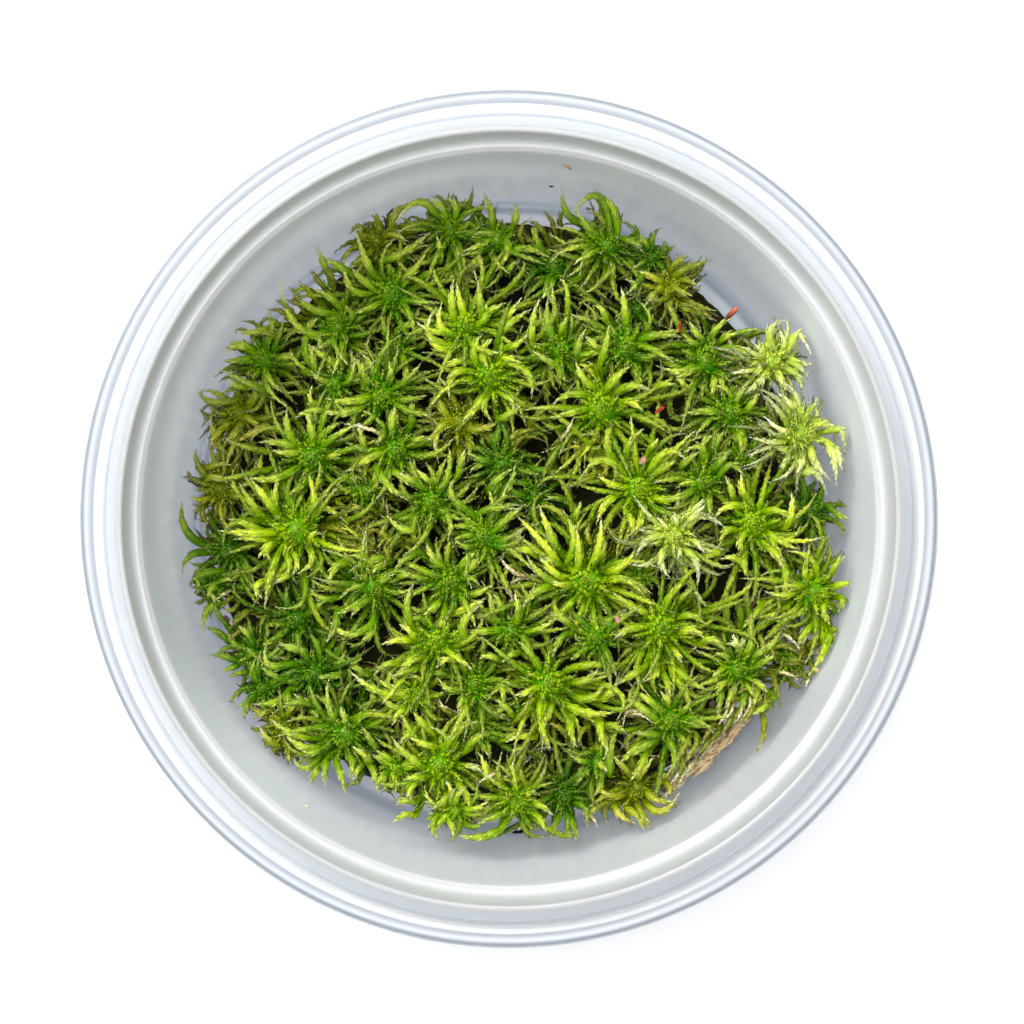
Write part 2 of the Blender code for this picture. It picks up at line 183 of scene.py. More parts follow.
# The branches that stand out in the photograph, read off it: where each leaves the head or comes
# into view, its middle and its tip, in the photograph's pixels
SEEN_BRANCHES = {
    "live": [
        (391, 238, 396, 213, 413, 204), (436, 214, 418, 202, 397, 220), (447, 224, 442, 208, 430, 199),
        (453, 222, 456, 207, 447, 198), (493, 232, 492, 218, 491, 207), (497, 238, 482, 244, 463, 252),
        (500, 236, 488, 233, 474, 234), (505, 238, 506, 254, 490, 275), (512, 228, 516, 216, 515, 206),
        (578, 222, 566, 211, 562, 190), (611, 232, 598, 196, 573, 213), (617, 236, 613, 208, 592, 194),
        (620, 238, 632, 242, 640, 249), (330, 276, 323, 262, 318, 249), (352, 275, 337, 265, 325, 258),
        (375, 276, 366, 260, 355, 229), (380, 260, 405, 252, 437, 226), (424, 276, 452, 272, 488, 281),
        (440, 264, 440, 250, 437, 236), (452, 268, 458, 258, 456, 246), (483, 270, 480, 260, 479, 250),
        (506, 274, 511, 267, 518, 261), (508, 252, 528, 249, 549, 258), (548, 256, 536, 240, 538, 222),
        (570, 276, 577, 288, 588, 295), (575, 274, 596, 283, 620, 296), (602, 240, 587, 226, 577, 209),
        (643, 272, 631, 272, 633, 284), (648, 250, 645, 242, 640, 236), (652, 248, 652, 240, 656, 233),
        (670, 272, 677, 262, 687, 256), (672, 278, 688, 268, 709, 261), (337, 314, 313, 309, 295, 295),
        (341, 310, 331, 298, 314, 289), (375, 292, 352, 289, 344, 260), (377, 292, 361, 278, 354, 271),
        (398, 282, 413, 271, 426, 253), (440, 280, 462, 278, 488, 291), (481, 318, 480, 300, 478, 283),
        (484, 313, 493, 309, 504, 304), (612, 282, 612, 272, 609, 263), (664, 284, 657, 292, 653, 304),
        (668, 286, 668, 303, 678, 319), (672, 284, 680, 291, 690, 295), (676, 304, 695, 311, 714, 320),
        (678, 280, 688, 281, 697, 288), (253, 354, 240, 346, 225, 352), (253, 358, 240, 360, 225, 361),
        (255, 352, 243, 345, 231, 344), (265, 346, 272, 330, 268, 310), (271, 328, 255, 332, 242, 333),
        (331, 334, 297, 326, 280, 283), (397, 330, 411, 322, 421, 304), (455, 322, 452, 302, 453, 284),
        (455, 350, 436, 346, 428, 325), (456, 346, 429, 335, 435, 310), (458, 334, 441, 327, 441, 306),
        (466, 322, 461, 304, 457, 286), (478, 352, 476, 345, 478, 340), (480, 352, 484, 360, 486, 366),
        (481, 354, 484, 346, 490, 341), (499, 328, 508, 316, 520, 300), (500, 334, 512, 322, 530, 310),
        (500, 358, 510, 359, 520, 365), (505, 348, 517, 344, 526, 336), (533, 347, 532, 325, 538, 303),
        (556, 345, 548, 322, 548, 300), (560, 337, 563, 326, 567, 319), (603, 352, 594, 345, 587, 338),
        (607, 322, 603, 311, 596, 306), (626, 326, 625, 308, 622, 290), (640, 340, 659, 335, 680, 337),
        (640, 346, 655, 351, 672, 362), (703, 346, 692, 342, 685, 336), (706, 342, 697, 334, 690, 322),
        (712, 340, 716, 329, 728, 320), (720, 349, 742, 351, 760, 366), (720, 342, 727, 336, 736, 334),
        (722, 358, 750, 361, 761, 387), (768, 356, 761, 351, 759, 343), (775, 352, 770, 331, 784, 321),
        (782, 350, 784, 341, 780, 332), (788, 350, 800, 334, 812, 353), (790, 358, 801, 363, 812, 364),
        (245, 398, 213, 402, 199, 390), (251, 386, 237, 386, 229, 380), (271, 361, 287, 357, 303, 358),
        (275, 396, 249, 384, 221, 370), (307, 360, 308, 330, 325, 316), (317, 372, 313, 360, 310, 346),
        (335, 382, 322, 380, 312, 372), (339, 368, 325, 357, 307, 344), (345, 362, 343, 348, 351, 333),
        (365, 390, 363, 372, 351, 356), (373, 396, 351, 401, 328, 399), (375, 382, 372, 366, 362, 354),
        (388, 386, 391, 374, 390, 364), (474, 372, 454, 374, 449, 397), (475, 362, 457, 362, 441, 369),
        (488, 396, 484, 407, 491, 420), (489, 391, 477, 406, 462, 422), (498, 392, 510, 399, 515, 412),
        (502, 364, 515, 365, 527, 373), (520, 368, 530, 377, 532, 395), (560, 368, 548, 361, 533, 351),
        (577, 362, 578, 346, 584, 332), (592, 398, 572, 394, 553, 404), (597, 390, 584, 379, 576, 362),
        (600, 364, 606, 345, 609, 325), (606, 392, 615, 379, 630, 366), (618, 392, 632, 386, 650, 390),
        (633, 366, 638, 380, 639, 398), (655, 388, 665, 384, 677, 386), (688, 396, 683, 384, 676, 374),
        (700, 372, 694, 383, 683, 392), (702, 360, 683, 371, 660, 367), (705, 368, 691, 371, 676, 380),
        (706, 374, 703, 389, 695, 404), (713, 372, 714, 386, 711, 399), (720, 370, 722, 383, 722, 396),
        (766, 362, 760, 366, 757, 373), (768, 370, 763, 378, 762, 386), (778, 370, 782, 382, 790, 391),
        (785, 368, 798, 377, 802, 393), (788, 362, 800, 367, 806, 379), (243, 415, 250, 420, 258, 426),
        (245, 418, 236, 432, 225, 442), (275, 413, 257, 430, 231, 443), (319, 404, 311, 401, 311, 390),
        (320, 424, 309, 414, 298, 416), (331, 413, 313, 410, 298, 417), (365, 404, 345, 413, 321, 410),
        (385, 430, 381, 437, 378, 444), (394, 436, 392, 422, 396, 407), (397, 426, 395, 415, 396, 406),
        (411, 426, 412, 412, 411, 398), (453, 422, 440, 404, 437, 388), (456, 421, 437, 432, 438, 460),
        (459, 423, 480, 429, 503, 418), (498, 419, 510, 414, 521, 405), (590, 408, 573, 412, 550, 418),
        (622, 402, 634, 403, 641, 411), (725, 414, 705, 411, 682, 415), (737, 406, 738, 396, 748, 388),
        (745, 412, 752, 404, 758, 396), (794, 411, 788, 402, 779, 393), (206, 469, 216, 465, 230, 465),
        (228, 458, 215, 437, 211, 416), (297, 447, 288, 428, 287, 410), (297, 467, 272, 479, 244, 476),
        (300, 449, 281, 443, 260, 442), (300, 452, 288, 453, 275, 451), (313, 447, 311, 428, 306, 412),
        (325, 455, 333, 456, 342, 450), (350, 475, 342, 479, 335, 487), (365, 450, 362, 438, 358, 426),
        (376, 467, 388, 485, 404, 498), (384, 452, 368, 459, 350, 470), (392, 470, 403, 478, 415, 488),
        (412, 442, 420, 439, 431, 439), (458, 476, 461, 463, 465, 450), (497, 456, 500, 428, 521, 406),
        (498, 462, 483, 463, 470, 472), (615, 461, 607, 440, 617, 418), (624, 474, 602, 460, 581, 477),
        (626, 459, 630, 442, 643, 430), (648, 452, 653, 445, 657, 440), (650, 471, 667, 452, 685, 459),
        (650, 477, 664, 468, 673, 462), (680, 470, 688, 460, 699, 452), (703, 458, 703, 445, 712, 436),
        (706, 460, 700, 447, 685, 452), (712, 470, 721, 461, 729, 452), (716, 450, 718, 440, 726, 430),
        (718, 478, 730, 465, 743, 475), (798, 447, 780, 448, 769, 432), (800, 450, 786, 461, 780, 474),
        (800, 478, 786, 483, 775, 493), (800, 474, 816, 474, 826, 493), (804, 452, 800, 465, 797, 478),
        (811, 447, 815, 462, 829, 479), (828, 443, 834, 460, 836, 482), (833, 447, 839, 457, 841, 469),
        (206, 480, 216, 477, 229, 483), (262, 516, 251, 502, 240, 485), (275, 512, 264, 496, 250, 479),
        (277, 510, 275, 494, 279, 480), (305, 511, 325, 508, 345, 521), (423, 488, 409, 479, 399, 473),
        (433, 484, 425, 478, 418, 471), (472, 513, 451, 494, 459, 473), (479, 513, 496, 508, 515, 509),
        (489, 495, 496, 481, 515, 467), (499, 498, 509, 487, 515, 467), (514, 498, 510, 491, 507, 484),
        (568, 502, 558, 498, 547, 499), (573, 509, 567, 502, 559, 500), (618, 494, 606, 504, 597, 522),
        (622, 486, 611, 484, 601, 476), (625, 510, 632, 522, 632, 536), (645, 500, 641, 519, 633, 536),
        (700, 484, 688, 483, 677, 487), (700, 494, 693, 502, 689, 511), (711, 492, 709, 505, 713, 518),
        (733, 500, 731, 489, 726, 478), (745, 508, 729, 506, 715, 517), (748, 500, 742, 488, 742, 474),
        (762, 512, 778, 511, 792, 520), (828, 506, 837, 514, 847, 518), (199, 543, 184, 526, 182, 503),
        (201, 553, 190, 556, 181, 570), (240, 558, 247, 570, 249, 586), (262, 531, 246, 524, 229, 519),
        (270, 540, 254, 538, 237, 539), (274, 545, 267, 552, 271, 560), (275, 533, 249, 533, 221, 531),
        (275, 543, 267, 547, 259, 557), (279, 552, 270, 577, 265, 606), (286, 552, 289, 565, 286, 578),
        (293, 552, 297, 562, 293, 574), (306, 545, 312, 560, 299, 573), (310, 548, 311, 535, 321, 534),
        (418, 531, 402, 529, 389, 518), (420, 552, 405, 559, 395, 571), (490, 535, 505, 521, 522, 507),
        (500, 536, 513, 539, 523, 529), (538, 556, 524, 549, 505, 553), (557, 548, 549, 530, 540, 508),
        (558, 550, 552, 536, 548, 524), (575, 522, 577, 512, 581, 503), (722, 552, 708, 555, 692, 569),
        (738, 531, 726, 531, 720, 545), (745, 550, 744, 565, 748, 576), (748, 530, 741, 540, 741, 552),
        (760, 541, 774, 552, 785, 571), (765, 530, 780, 541, 798, 549), (768, 530, 774, 545, 783, 558),
        (785, 528, 791, 513, 792, 495), (815, 520, 812, 535, 808, 548), (820, 524, 823, 538, 826, 550),
        (222, 572, 199, 577, 205, 593), (225, 580, 210, 590, 219, 601), (268, 580, 256, 587, 262, 598),
        (292, 571, 284, 577, 275, 583), (318, 585, 308, 578, 297, 577), (337, 597, 321, 598, 309, 588),
        (352, 562, 334, 569, 331, 590), (370, 594, 353, 606, 339, 613), (372, 588, 357, 586, 342, 596),
        (372, 598, 360, 605, 352, 616), (378, 586, 385, 579, 392, 575), (392, 560, 370, 560, 350, 571),
        (392, 562, 379, 566, 372, 575), (398, 578, 407, 575, 418, 580), (444, 567, 434, 559, 427, 545),
        (459, 572, 468, 558, 484, 547), (462, 577, 472, 566, 480, 555), (463, 580, 471, 578, 478, 584),
        (467, 595, 480, 592, 492, 585), (551, 587, 536, 592, 521, 609), (560, 566, 541, 541, 513, 512),
        (560, 583, 541, 574, 527, 556), (561, 566, 552, 561, 542, 561), (565, 580, 552, 570, 541, 558),
        (567, 562, 574, 538, 563, 511), (575, 582, 563, 585, 552, 580), (577, 575, 579, 551, 576, 528),
        (588, 571, 599, 547, 601, 519), (596, 562, 603, 550, 602, 535), (602, 572, 621, 567, 636, 549),
        (607, 579, 628, 581, 645, 597), (628, 580, 641, 588, 650, 602), (745, 567, 735, 558, 722, 559),
        (783, 562, 786, 582, 781, 603), (800, 590, 785, 595, 767, 592), (806, 592, 797, 587, 788, 592),
        (808, 580, 805, 572, 806, 563), (830, 576, 836, 565, 843, 558), (833, 590, 843, 584, 855, 588),
        (838, 597, 849, 603, 857, 616), (222, 603, 207, 611, 203, 632), (330, 616, 320, 609, 310, 597),
        (337, 612, 335, 626, 327, 641), (372, 624, 349, 634, 331, 622), (376, 629, 369, 636, 362, 643),
        (412, 628, 407, 605, 413, 585), (440, 600, 432, 609, 420, 613), (444, 610, 440, 626, 427, 633),
        (450, 613, 468, 608, 487, 597), (495, 623, 492, 607, 489, 592), (502, 616, 500, 604, 492, 592),
        (525, 621, 535, 616, 546, 613), (567, 632, 558, 643, 553, 656), (573, 627, 563, 619, 551, 615),
        (600, 622, 615, 618, 628, 608), (643, 612, 627, 603, 612, 592), (645, 627, 629, 629, 614, 639),
        (650, 615, 640, 610, 629, 607), (677, 634, 688, 631, 698, 634), (680, 618, 692, 616, 707, 625),
        (680, 628, 692, 629, 705, 639), (680, 601, 685, 595, 692, 590), (727, 625, 726, 602, 729, 578),
        (741, 621, 738, 604, 730, 590), (751, 620, 747, 600, 749, 578), (765, 600, 753, 617, 738, 632),
        (812, 602, 798, 613, 779, 621), (812, 625, 804, 634, 798, 645), (824, 600, 824, 612, 829, 623),
        (827, 634, 836, 644, 840, 663), (830, 628, 838, 631, 846, 634), (228, 641, 218, 632, 208, 628),
        (237, 666, 231, 668, 224, 671), (238, 662, 225, 657, 212, 655), (248, 671, 240, 673, 231, 676),
        (262, 659, 254, 655, 245, 649), (292, 663, 269, 665, 266, 645), (303, 650, 292, 649, 281, 643),
        (306, 659, 300, 649, 279, 645), (330, 673, 341, 661, 345, 649), (350, 671, 334, 676, 315, 677),
        (373, 676, 358, 669, 347, 655), (401, 664, 387, 664, 375, 674), (411, 641, 398, 640, 383, 644),
        (416, 640, 410, 632, 402, 626), (416, 655, 409, 662, 402, 669), (418, 668, 405, 671, 393, 678),
        (425, 655, 411, 661, 398, 673), (449, 676, 437, 672, 426, 673), (458, 661, 448, 659, 438, 666),
        (466, 641, 464, 622, 480, 606), (466, 673, 459, 657, 452, 643), (500, 661, 490, 656, 481, 658),
        (520, 652, 511, 655, 504, 661), (572, 668, 600, 664, 629, 665), (645, 667, 630, 676, 616, 684),
        (657, 666, 655, 675, 646, 680), (663, 674, 668, 684, 670, 699), (672, 648, 677, 654, 681, 661),
        (673, 676, 686, 694, 691, 722), (675, 668, 691, 682, 707, 690), (700, 644, 711, 639, 725, 650),
        (729, 655, 712, 641, 691, 651), (729, 666, 719, 672, 716, 680), (731, 660, 724, 655, 715, 655),
        (744, 655, 750, 646, 752, 634), (752, 658, 762, 651, 769, 643), (753, 651, 751, 631, 752, 612),
        (755, 666, 765, 661, 774, 655), (796, 645, 781, 618, 768, 603), (824, 640, 829, 656, 824, 681),
        (833, 640, 839, 648, 842, 661), (272, 710, 264, 713, 256, 717), (286, 681, 273, 675, 260, 667),
        (288, 692, 275, 702, 251, 704), (288, 690, 288, 704, 292, 719), (309, 708, 316, 715, 322, 725),
        (318, 709, 298, 702, 277, 711), (320, 703, 306, 701, 295, 695), (370, 680, 373, 693, 371, 708),
        (401, 697, 374, 689, 351, 672), (405, 707, 393, 706, 382, 697), (406, 706, 398, 714, 393, 723),
        (416, 702, 397, 691, 379, 680), (461, 689, 449, 689, 439, 680), (466, 692, 461, 702, 459, 713),
        (495, 682, 503, 690, 502, 704), (500, 717, 490, 707, 478, 699), (514, 718, 507, 708, 497, 701),
        (540, 685, 529, 691, 517, 695), (552, 703, 548, 715, 542, 728), (565, 704, 589, 713, 615, 712),
        (572, 682, 587, 680, 597, 670), (575, 697, 593, 697, 604, 682), (597, 699, 611, 692, 619, 675),
        (645, 710, 635, 703, 622, 700), (662, 715, 648, 699, 629, 691), (670, 708, 668, 700, 662, 693),
        (680, 716, 686, 708, 692, 702), (723, 688, 720, 701, 718, 716), (733, 680, 723, 684, 717, 692),
        (736, 684, 731, 696, 726, 706), (745, 682, 749, 688, 752, 693), (747, 690, 743, 702, 741, 716),
        (752, 680, 760, 685, 766, 691), (757, 688, 756, 696, 753, 703),
        (774, 697, 764, 707, 753, 714), (280, 746, 268, 739, 260, 728), (290, 745, 288, 752, 290, 760),
        (312, 738, 291, 733, 272, 720), (320, 755, 307, 768, 294, 760), (321, 748, 301, 746, 285, 733),
        (323, 748, 312, 753, 302, 750), (335, 728, 332, 714, 325, 700), (347, 728, 345, 719, 341, 709),
        (350, 755, 352, 765, 350, 776), (353, 728, 362, 715, 379, 711), (379, 751, 370, 739, 362, 727),
        (420, 726, 409, 734, 400, 743), (434, 734, 421, 722, 412, 708), (437, 747, 424, 744, 410, 737),
        (449, 750, 446, 737, 433, 728), (452, 745, 461, 727, 481, 722), (466, 751, 477, 738, 494, 733),
        (500, 741, 512, 735, 525, 726), (513, 758, 519, 750, 528, 745), (535, 738, 523, 736, 508, 741),
        (572, 721, 571, 733, 576, 745), (590, 755, 600, 764, 607, 771), (600, 720, 601, 735, 608, 751),
        (603, 726, 615, 726, 627, 734), (645, 743, 632, 751, 620, 764), (646, 752, 641, 766, 631, 780),
        (657, 738, 641, 748, 625, 758), (659, 724, 646, 711, 625, 701), (659, 735, 647, 734, 635, 733),
        (668, 739, 675, 757, 668, 774), (679, 734, 684, 740, 689, 743), (683, 726, 697, 724, 717, 730),
        (320, 765, 315, 773, 311, 782), (326, 760, 325, 771, 325, 783), (336, 762, 341, 775, 345, 792),
        (362, 765, 357, 771, 354, 778), (370, 765, 375, 776, 378, 790), (372, 763, 364, 755, 355, 748),
        (385, 772, 381, 780, 377, 788), (392, 770, 395, 781, 396, 792), (408, 775, 411, 789, 413, 803),
        (416, 761, 404, 752, 393, 739), (418, 782, 410, 790, 412, 801), (425, 779, 415, 777, 405, 780),
        (428, 770, 411, 758, 398, 744), (450, 791, 443, 801, 433, 808), (457, 783, 467, 797, 472, 815),
        (488, 786, 486, 770, 480, 755), (522, 782, 512, 768, 518, 752), (568, 785, 581, 772, 587, 755),
        (605, 790, 600, 782, 597, 774), (611, 775, 611, 746, 622, 719), (645, 788, 655, 799, 674, 801),
        (655, 781, 662, 776, 668, 778), (661, 780, 670, 788, 663, 797), (416, 816, 405, 815, 394, 822),
        (416, 803, 406, 801, 398, 804), (437, 815, 433, 826, 438, 838), (447, 818, 452, 827, 453, 834),
        (500, 830, 480, 837, 458, 835), (503, 813, 491, 818, 479, 823), (523, 802, 528, 794, 537, 794),
        (533, 803, 543, 807, 551, 813), (536, 815, 542, 822, 545, 831), (560, 815, 555, 825, 552, 837),
        (567, 815, 568, 828, 565, 840), (570, 818, 574, 829, 576, 840), (575, 803, 584, 808, 588, 821),
        (593, 806, 612, 801, 632, 800), (615, 805, 620, 815, 632, 822), (625, 808, 637, 816, 644, 831),
        (637, 804, 643, 816, 651, 830), (647, 804, 662, 811, 677, 796),
    ],
    "dull": [
        (296, 318, 286, 306, 276, 300), (304, 312, 298, 298, 290, 288), (316, 300, 308, 290, 300, 283),
        (326, 290, 318, 280, 312, 272), (286, 330, 274, 322, 264, 318), (280, 340, 268, 334, 256, 332),
        (334, 284, 330, 274, 322, 266), (310, 306, 300, 304, 288, 300), (290, 322, 282, 312, 270, 310),
        (548, 240, 540, 228, 530, 222), (556, 236, 552, 222, 545, 212), (540, 250, 530, 240, 522, 232),
        (525, 245, 520, 232, 528, 220), (562, 230, 560, 218, 566, 208), (240, 600, 232, 610, 222, 606),
        (250, 610, 240, 618, 230, 628), (236, 596, 228, 600, 220, 610), (246, 625, 238, 632, 230, 640),
        (712, 732, 706, 745, 697, 755), (722, 724, 716, 735, 708, 744), (733, 713, 727, 726, 720, 736),
        (743, 705, 737, 716, 732, 726), (702, 740, 693, 750, 686, 760), (716, 722, 708, 733, 702, 744),
        (761, 710, 764, 730, 757, 753),
        (335, 500, 345, 513, 349, 536), (370, 545, 369, 528, 381, 522), (396, 540, 383, 533, 388, 520),
        (404, 536, 392, 545, 380, 555), (336, 541, 350, 548, 360, 560), (325, 528, 340, 530, 350, 542),
        (345, 560, 360, 548, 376, 552), (503, 447, 521, 432, 550, 430), (512, 452, 524, 437, 544, 441),
        (578, 464, 578, 447, 562, 452), (556, 470, 553, 459, 546, 450), (568, 468, 563, 458, 574, 453),
        (594, 546, 588, 537, 589, 525), (620, 546, 613, 534, 605, 527), (530, 426, 540, 413, 554, 408),
        (600, 472, 584, 480, 566, 488), (513, 723, 523, 712, 530, 699), (545, 766, 541, 757, 535, 750),
        (553, 771, 552, 761, 559, 750), (598, 743, 586, 752, 574, 750), (530, 790, 520, 770, 528, 757),
        (570, 740, 560, 728, 548, 724), (590, 725, 580, 735, 583, 748), (695, 732, 696, 744, 689, 758),
        (683, 750, 682, 766, 677, 782), (749, 698, 751, 712, 739, 722), (690, 735, 684, 748, 675, 762),
        (772, 672, 777, 689, 780, 706), (757, 632, 763, 644, 765, 656), (768, 636, 771, 648, 776, 660),
        (775, 660, 790, 664, 806, 660), (778, 668, 792, 676, 808, 671), (770, 650, 782, 646, 796, 652),
    ],
    "pale": [
        (800, 431, 784, 431, 765, 417), (832, 430, 848, 432, 862, 448), (688, 528, 702, 516, 727, 529),
        (688, 522, 695, 515, 704, 506), (676, 526, 676, 520, 671, 515), (670, 530, 664, 525, 659, 519),
        (666, 536, 649, 539, 636, 556), (668, 545, 661, 560, 669, 577), (685, 550, 696, 562, 698, 583),
        (692, 540, 698, 544, 703, 552), (676, 548, 680, 552, 678, 558), (465, 766, 474, 767, 482, 771),
        (738, 648, 733, 644, 729, 644), (738, 647, 736, 641, 734, 636), (739, 648, 742, 643, 743, 638),
    ],
    "white": [
        (381, 434, 362, 427, 345, 424), (387, 516, 387, 508, 383, 500), (232, 590, 224, 594, 215, 600),
        (560, 441, 568, 430, 573, 419), (523, 576, 510, 569, 500, 557), (513, 599, 504, 583, 499, 571),
        (523, 579, 517, 580, 511, 583), (449, 709, 443, 706, 438, 697), (645, 716, 629, 711, 623, 727),
        (558, 750, 547, 748, 534, 750), (500, 773, 490, 776, 477, 784), (588, 812, 593, 818, 597, 826),
        (627, 716, 638, 714, 650, 721), (779, 632, 791, 639, 800, 650), (799, 649, 804, 641, 810, 633),
        (776, 672, 788, 674, 797, 679), (817, 681, 813, 684, 808, 688), (812, 646, 820, 658, 811, 672),
        (500, 780, 515, 771, 531, 757), (742, 699, 741, 711, 736, 722), (748, 694, 750, 704, 745, 715),
        (752, 702, 746, 713, 739, 723), (735, 701, 731, 711, 724, 721), (729, 706, 723, 718, 716, 728),
        (690, 764, 684, 774, 678, 786), (698, 758, 690, 768, 685, 779), (684, 764, 678, 774, 672, 782),
    ],
    "dark": [
        (731, 348, 737, 343, 744, 337), (676, 304, 695, 307, 716, 321),
    ],
}
# How such a branch looks: its width in mm where it is long, its leaves' length in mm, its age, how
# freely its leaves stand off and which look it has, where that isn't its shoot's own
SeenLook = collections.namedtuple("SeenLook", "width leaf age ruffle look")
SEEN_LOOKS = {
    "live": SeenLook(0.67, 1.40, 0.00, 0.12, None),
    "dull": SeenLook(0.48, 1.30, 0.62, 0.16, None),
    "pale": SeenLook(0.60, 1.35, 0.00, 0.32, "pale"),
    "white": SeenLook(0.24, 1.00, 0.00, 0.10, "straw"),
    "dark": SeenLook(0.26, 0.80, 0.85, 0.05, None),
}
SEEN_LONG_PX = 40
SEEN_START = 0.20  # the colour that such a branch starts with, as a share of the way to its tip's
SEEN_LEAF_SPACING = 0.40 * MM
# Patches of brown curled branches in the photograph: middle x, y and radius in pixels, and their number
BROWN_PATCHES = [(374, 540, 30, 30), (806, 654, 15, 12), (598, 452, 14, 8), (752, 700, 10, 8)]
BROWN_LENGTH_PX = (10, 24)

# A branch placed by chance keeps this angle, in radians, from one that was seen. It ends in the inner
# part of the clump or within a share of a head's reach, and it is the darker the older it is.
KEEP_CLEAR = 0.42
INNER_RADIUS = 38.5 * MM
EDGE_REACH = 1.18
# darker with age: partly the old branches' duller colour, partly painted shade, as they lie low and deep in
# the clump
AGE_AND_PAINTED_SHADE = 1.6
# Circles that the photograph shows bare of green branches: x, y and radius in pixels
BARE_SPOTS = [(690, 780, 16), (706, 768, 20), (722, 752, 20), (738, 738, 18), (736, 308, 20), (728, 322, 9)]

# The mat of old branches under the shoots. Its branches at the edge and those further in start in
# these bands of radius and height, in mm.
TANGLE_BRANCHES = 270
TANGLE_RADIUS = 43.0 * MM
TANGLE_EDGE = (36, 43)
TANGLE_EDGE_HEIGHTS = (3, 12)
TANGLE_INNER_RADIUS = 42
TANGLE_INNER_HEIGHTS = (3.2, 11.0)
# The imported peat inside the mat
PEAT_RADIUS = 44.0 * MM
PEAT_MIDDLE = 6.4 * MM
PEAT_HALF_HEIGHT = 3.4 * MM

# The bark: the middle line of its upper edge, from pixel to pixel, and how far below that edge the
# three thick fibres of its core lie, in mm
BARK_LINE = [(676, 781), (697, 765), (721, 744), (742, 724), (749, 709)]
BARK_TOP = 18.4 * MM
BARK_FOOT = 10.6 * MM
BARK_CORE = (0.9, 3.0, 5.2)
BARK_FIBRES = 110
BARK_COLOURS = ((0.95, 0.60, 0.28), (1.00, 0.86, 0.56))
# The bare stalk: pixels and heights in mm from its foot to its red tip, and its colours along it
STALK_LINE = [(731, 314, 10.4), (722, 324, 17.5), (728, 317, 21.6), (738, 307, 23.4)]
STALK_RADIUS = 0.42 * MM
STALK_SIDES = 10
STALK_COLOURS = [
    (0.0, (0.10, 0.11, 0.02)),
    (0.66, (0.17, 0.17, 0.04)),
    (0.80, (0.42, 0.10, 0.05)),
    (1.0, (0.72, 0.19, 0.09)),
]

# Crumbs that lie on the moss and the tub: what they are, their place and their length in pixels, and
# how long they are for their width
Crumb = collections.namedtuple("Crumb", "kind x y length slim")
CRUMBS = [
    Crumb("red_bit", 441, 723, 13, 2.6),
    Crumb("red_bit", 659, 410, 13, 3.0),
    Crumb("red_bit", 495, 549, 12, 1.8),
    Crumb("red_bit", 680, 327, 12, 3.4),
    Crumb("pink_bit", 643, 461, 9, 1.3),
    Crumb("pink_bit", 676, 569, 12, 1.2),
    Crumb("pink_bit", 618, 620, 8, 1.5),
    Crumb("pink_bit", 260, 658, 8, 1.6),
    Crumb("pink_bit", 212, 448, 8, 1.8),
    Crumb("pink_bit", 226, 619, 10, 1.5),
    Crumb("tan_bit", 590, 820, 11, 1.7),
    Crumb("tan_bit", 590, 208, 10, 2.2),
    Crumb("tan_bit", 712, 704, 10, 1.5),
    Crumb("tan_bit", 306, 807, 8, 2.4),
    Crumb("tan_bit", 187, 473, 13, 2.8),
    Crumb("tan_bit", 566, 165, 15, 3.2),
    Crumb("tan_bit", 816, 670, 12, 2.0),
    Crumb("peat_bit", 518, 833, 12, 1.5),
    Crumb("peat_bit", 552, 186, 5, 1.6),
]
CRUMB_THICKNESS = 0.35
CRUMB_CURL = 0.25
CRUMB_COLOURS = {
    "red_bit": ((0.20, 0.012, 0.008), (0.66, 0.09, 0.04)),
    "pink_bit": ((0.30, 0.11, 0.07), (0.72, 0.42, 0.33)),
    "tan_bit": ((0.34, 0.22, 0.09), (0.82, 0.68, 0.42)),
    "peat_bit": ((0.004, 0.004, 0.002), (0.040, 0.028, 0.014)),
}

# The tub's colour by the distance from its middle in mm, with painted light and shade: the white rings are
# painted highlights and the grey rings painted shade
TUB_PAINTED_LIGHT_AND_SHADE = [
    (45.6, (0.74, 0.80, 0.90)),
    # painted shade in the groove at the foot of the wall
    (46.4, (0.44, 0.48, 0.55)),
    (47.3, (0.44, 0.48, 0.55)),
    (47.9, (0.74, 0.80, 0.90)),
    (50.6, (0.80, 0.85, 0.94)),
    # painted highlight on the ledge and the steep inner face of the rim
    (51.0, (0.98, 0.96, 1.00)),
    (52.9, (0.98, 0.96, 1.00)),
    (53.3, (0.78, 0.84, 0.96)),
    (55.2, (0.78, 0.84, 0.96)),
    # painted shade in the groove inside the bead
    (55.6, (0.62, 0.66, 0.72)),
    (55.9, (0.62, 0.66, 0.72)),
    # painted highlight on the bead
    (56.1, (1.00, 1.00, 1.00)),
    (57.0, (0.98, 0.99, 1.00)),
    # painted shade on the flange
    (57.3, (0.34, 0.36, 0.395)),
    (58.1, (0.50, 0.525, 0.56)),
    (58.5, (0.20, 0.225, 0.26)),
]
TUB_PAINTED_RINGS_FROM = 45.0
TUB_PAINTED_RINGS_TO = 59.0
SHEEN_TINT = (0.88, 0.94, 1.0)
MILKY_DEPTH = 4 * MM  # how far light spreads in the plastic
# Pale upright streaks on the wall: partly traces that ran down it and dried, partly a painted reflection of
# the moss
TRACE_AND_REFLECTION_COLOUR = (0.96, 1.00, 0.96)
TRACE_AND_REFLECTION_SCALE = 460
TRACE_AND_REFLECTION_UPRIGHT = 0.03  # how slowly a trace changes with the height

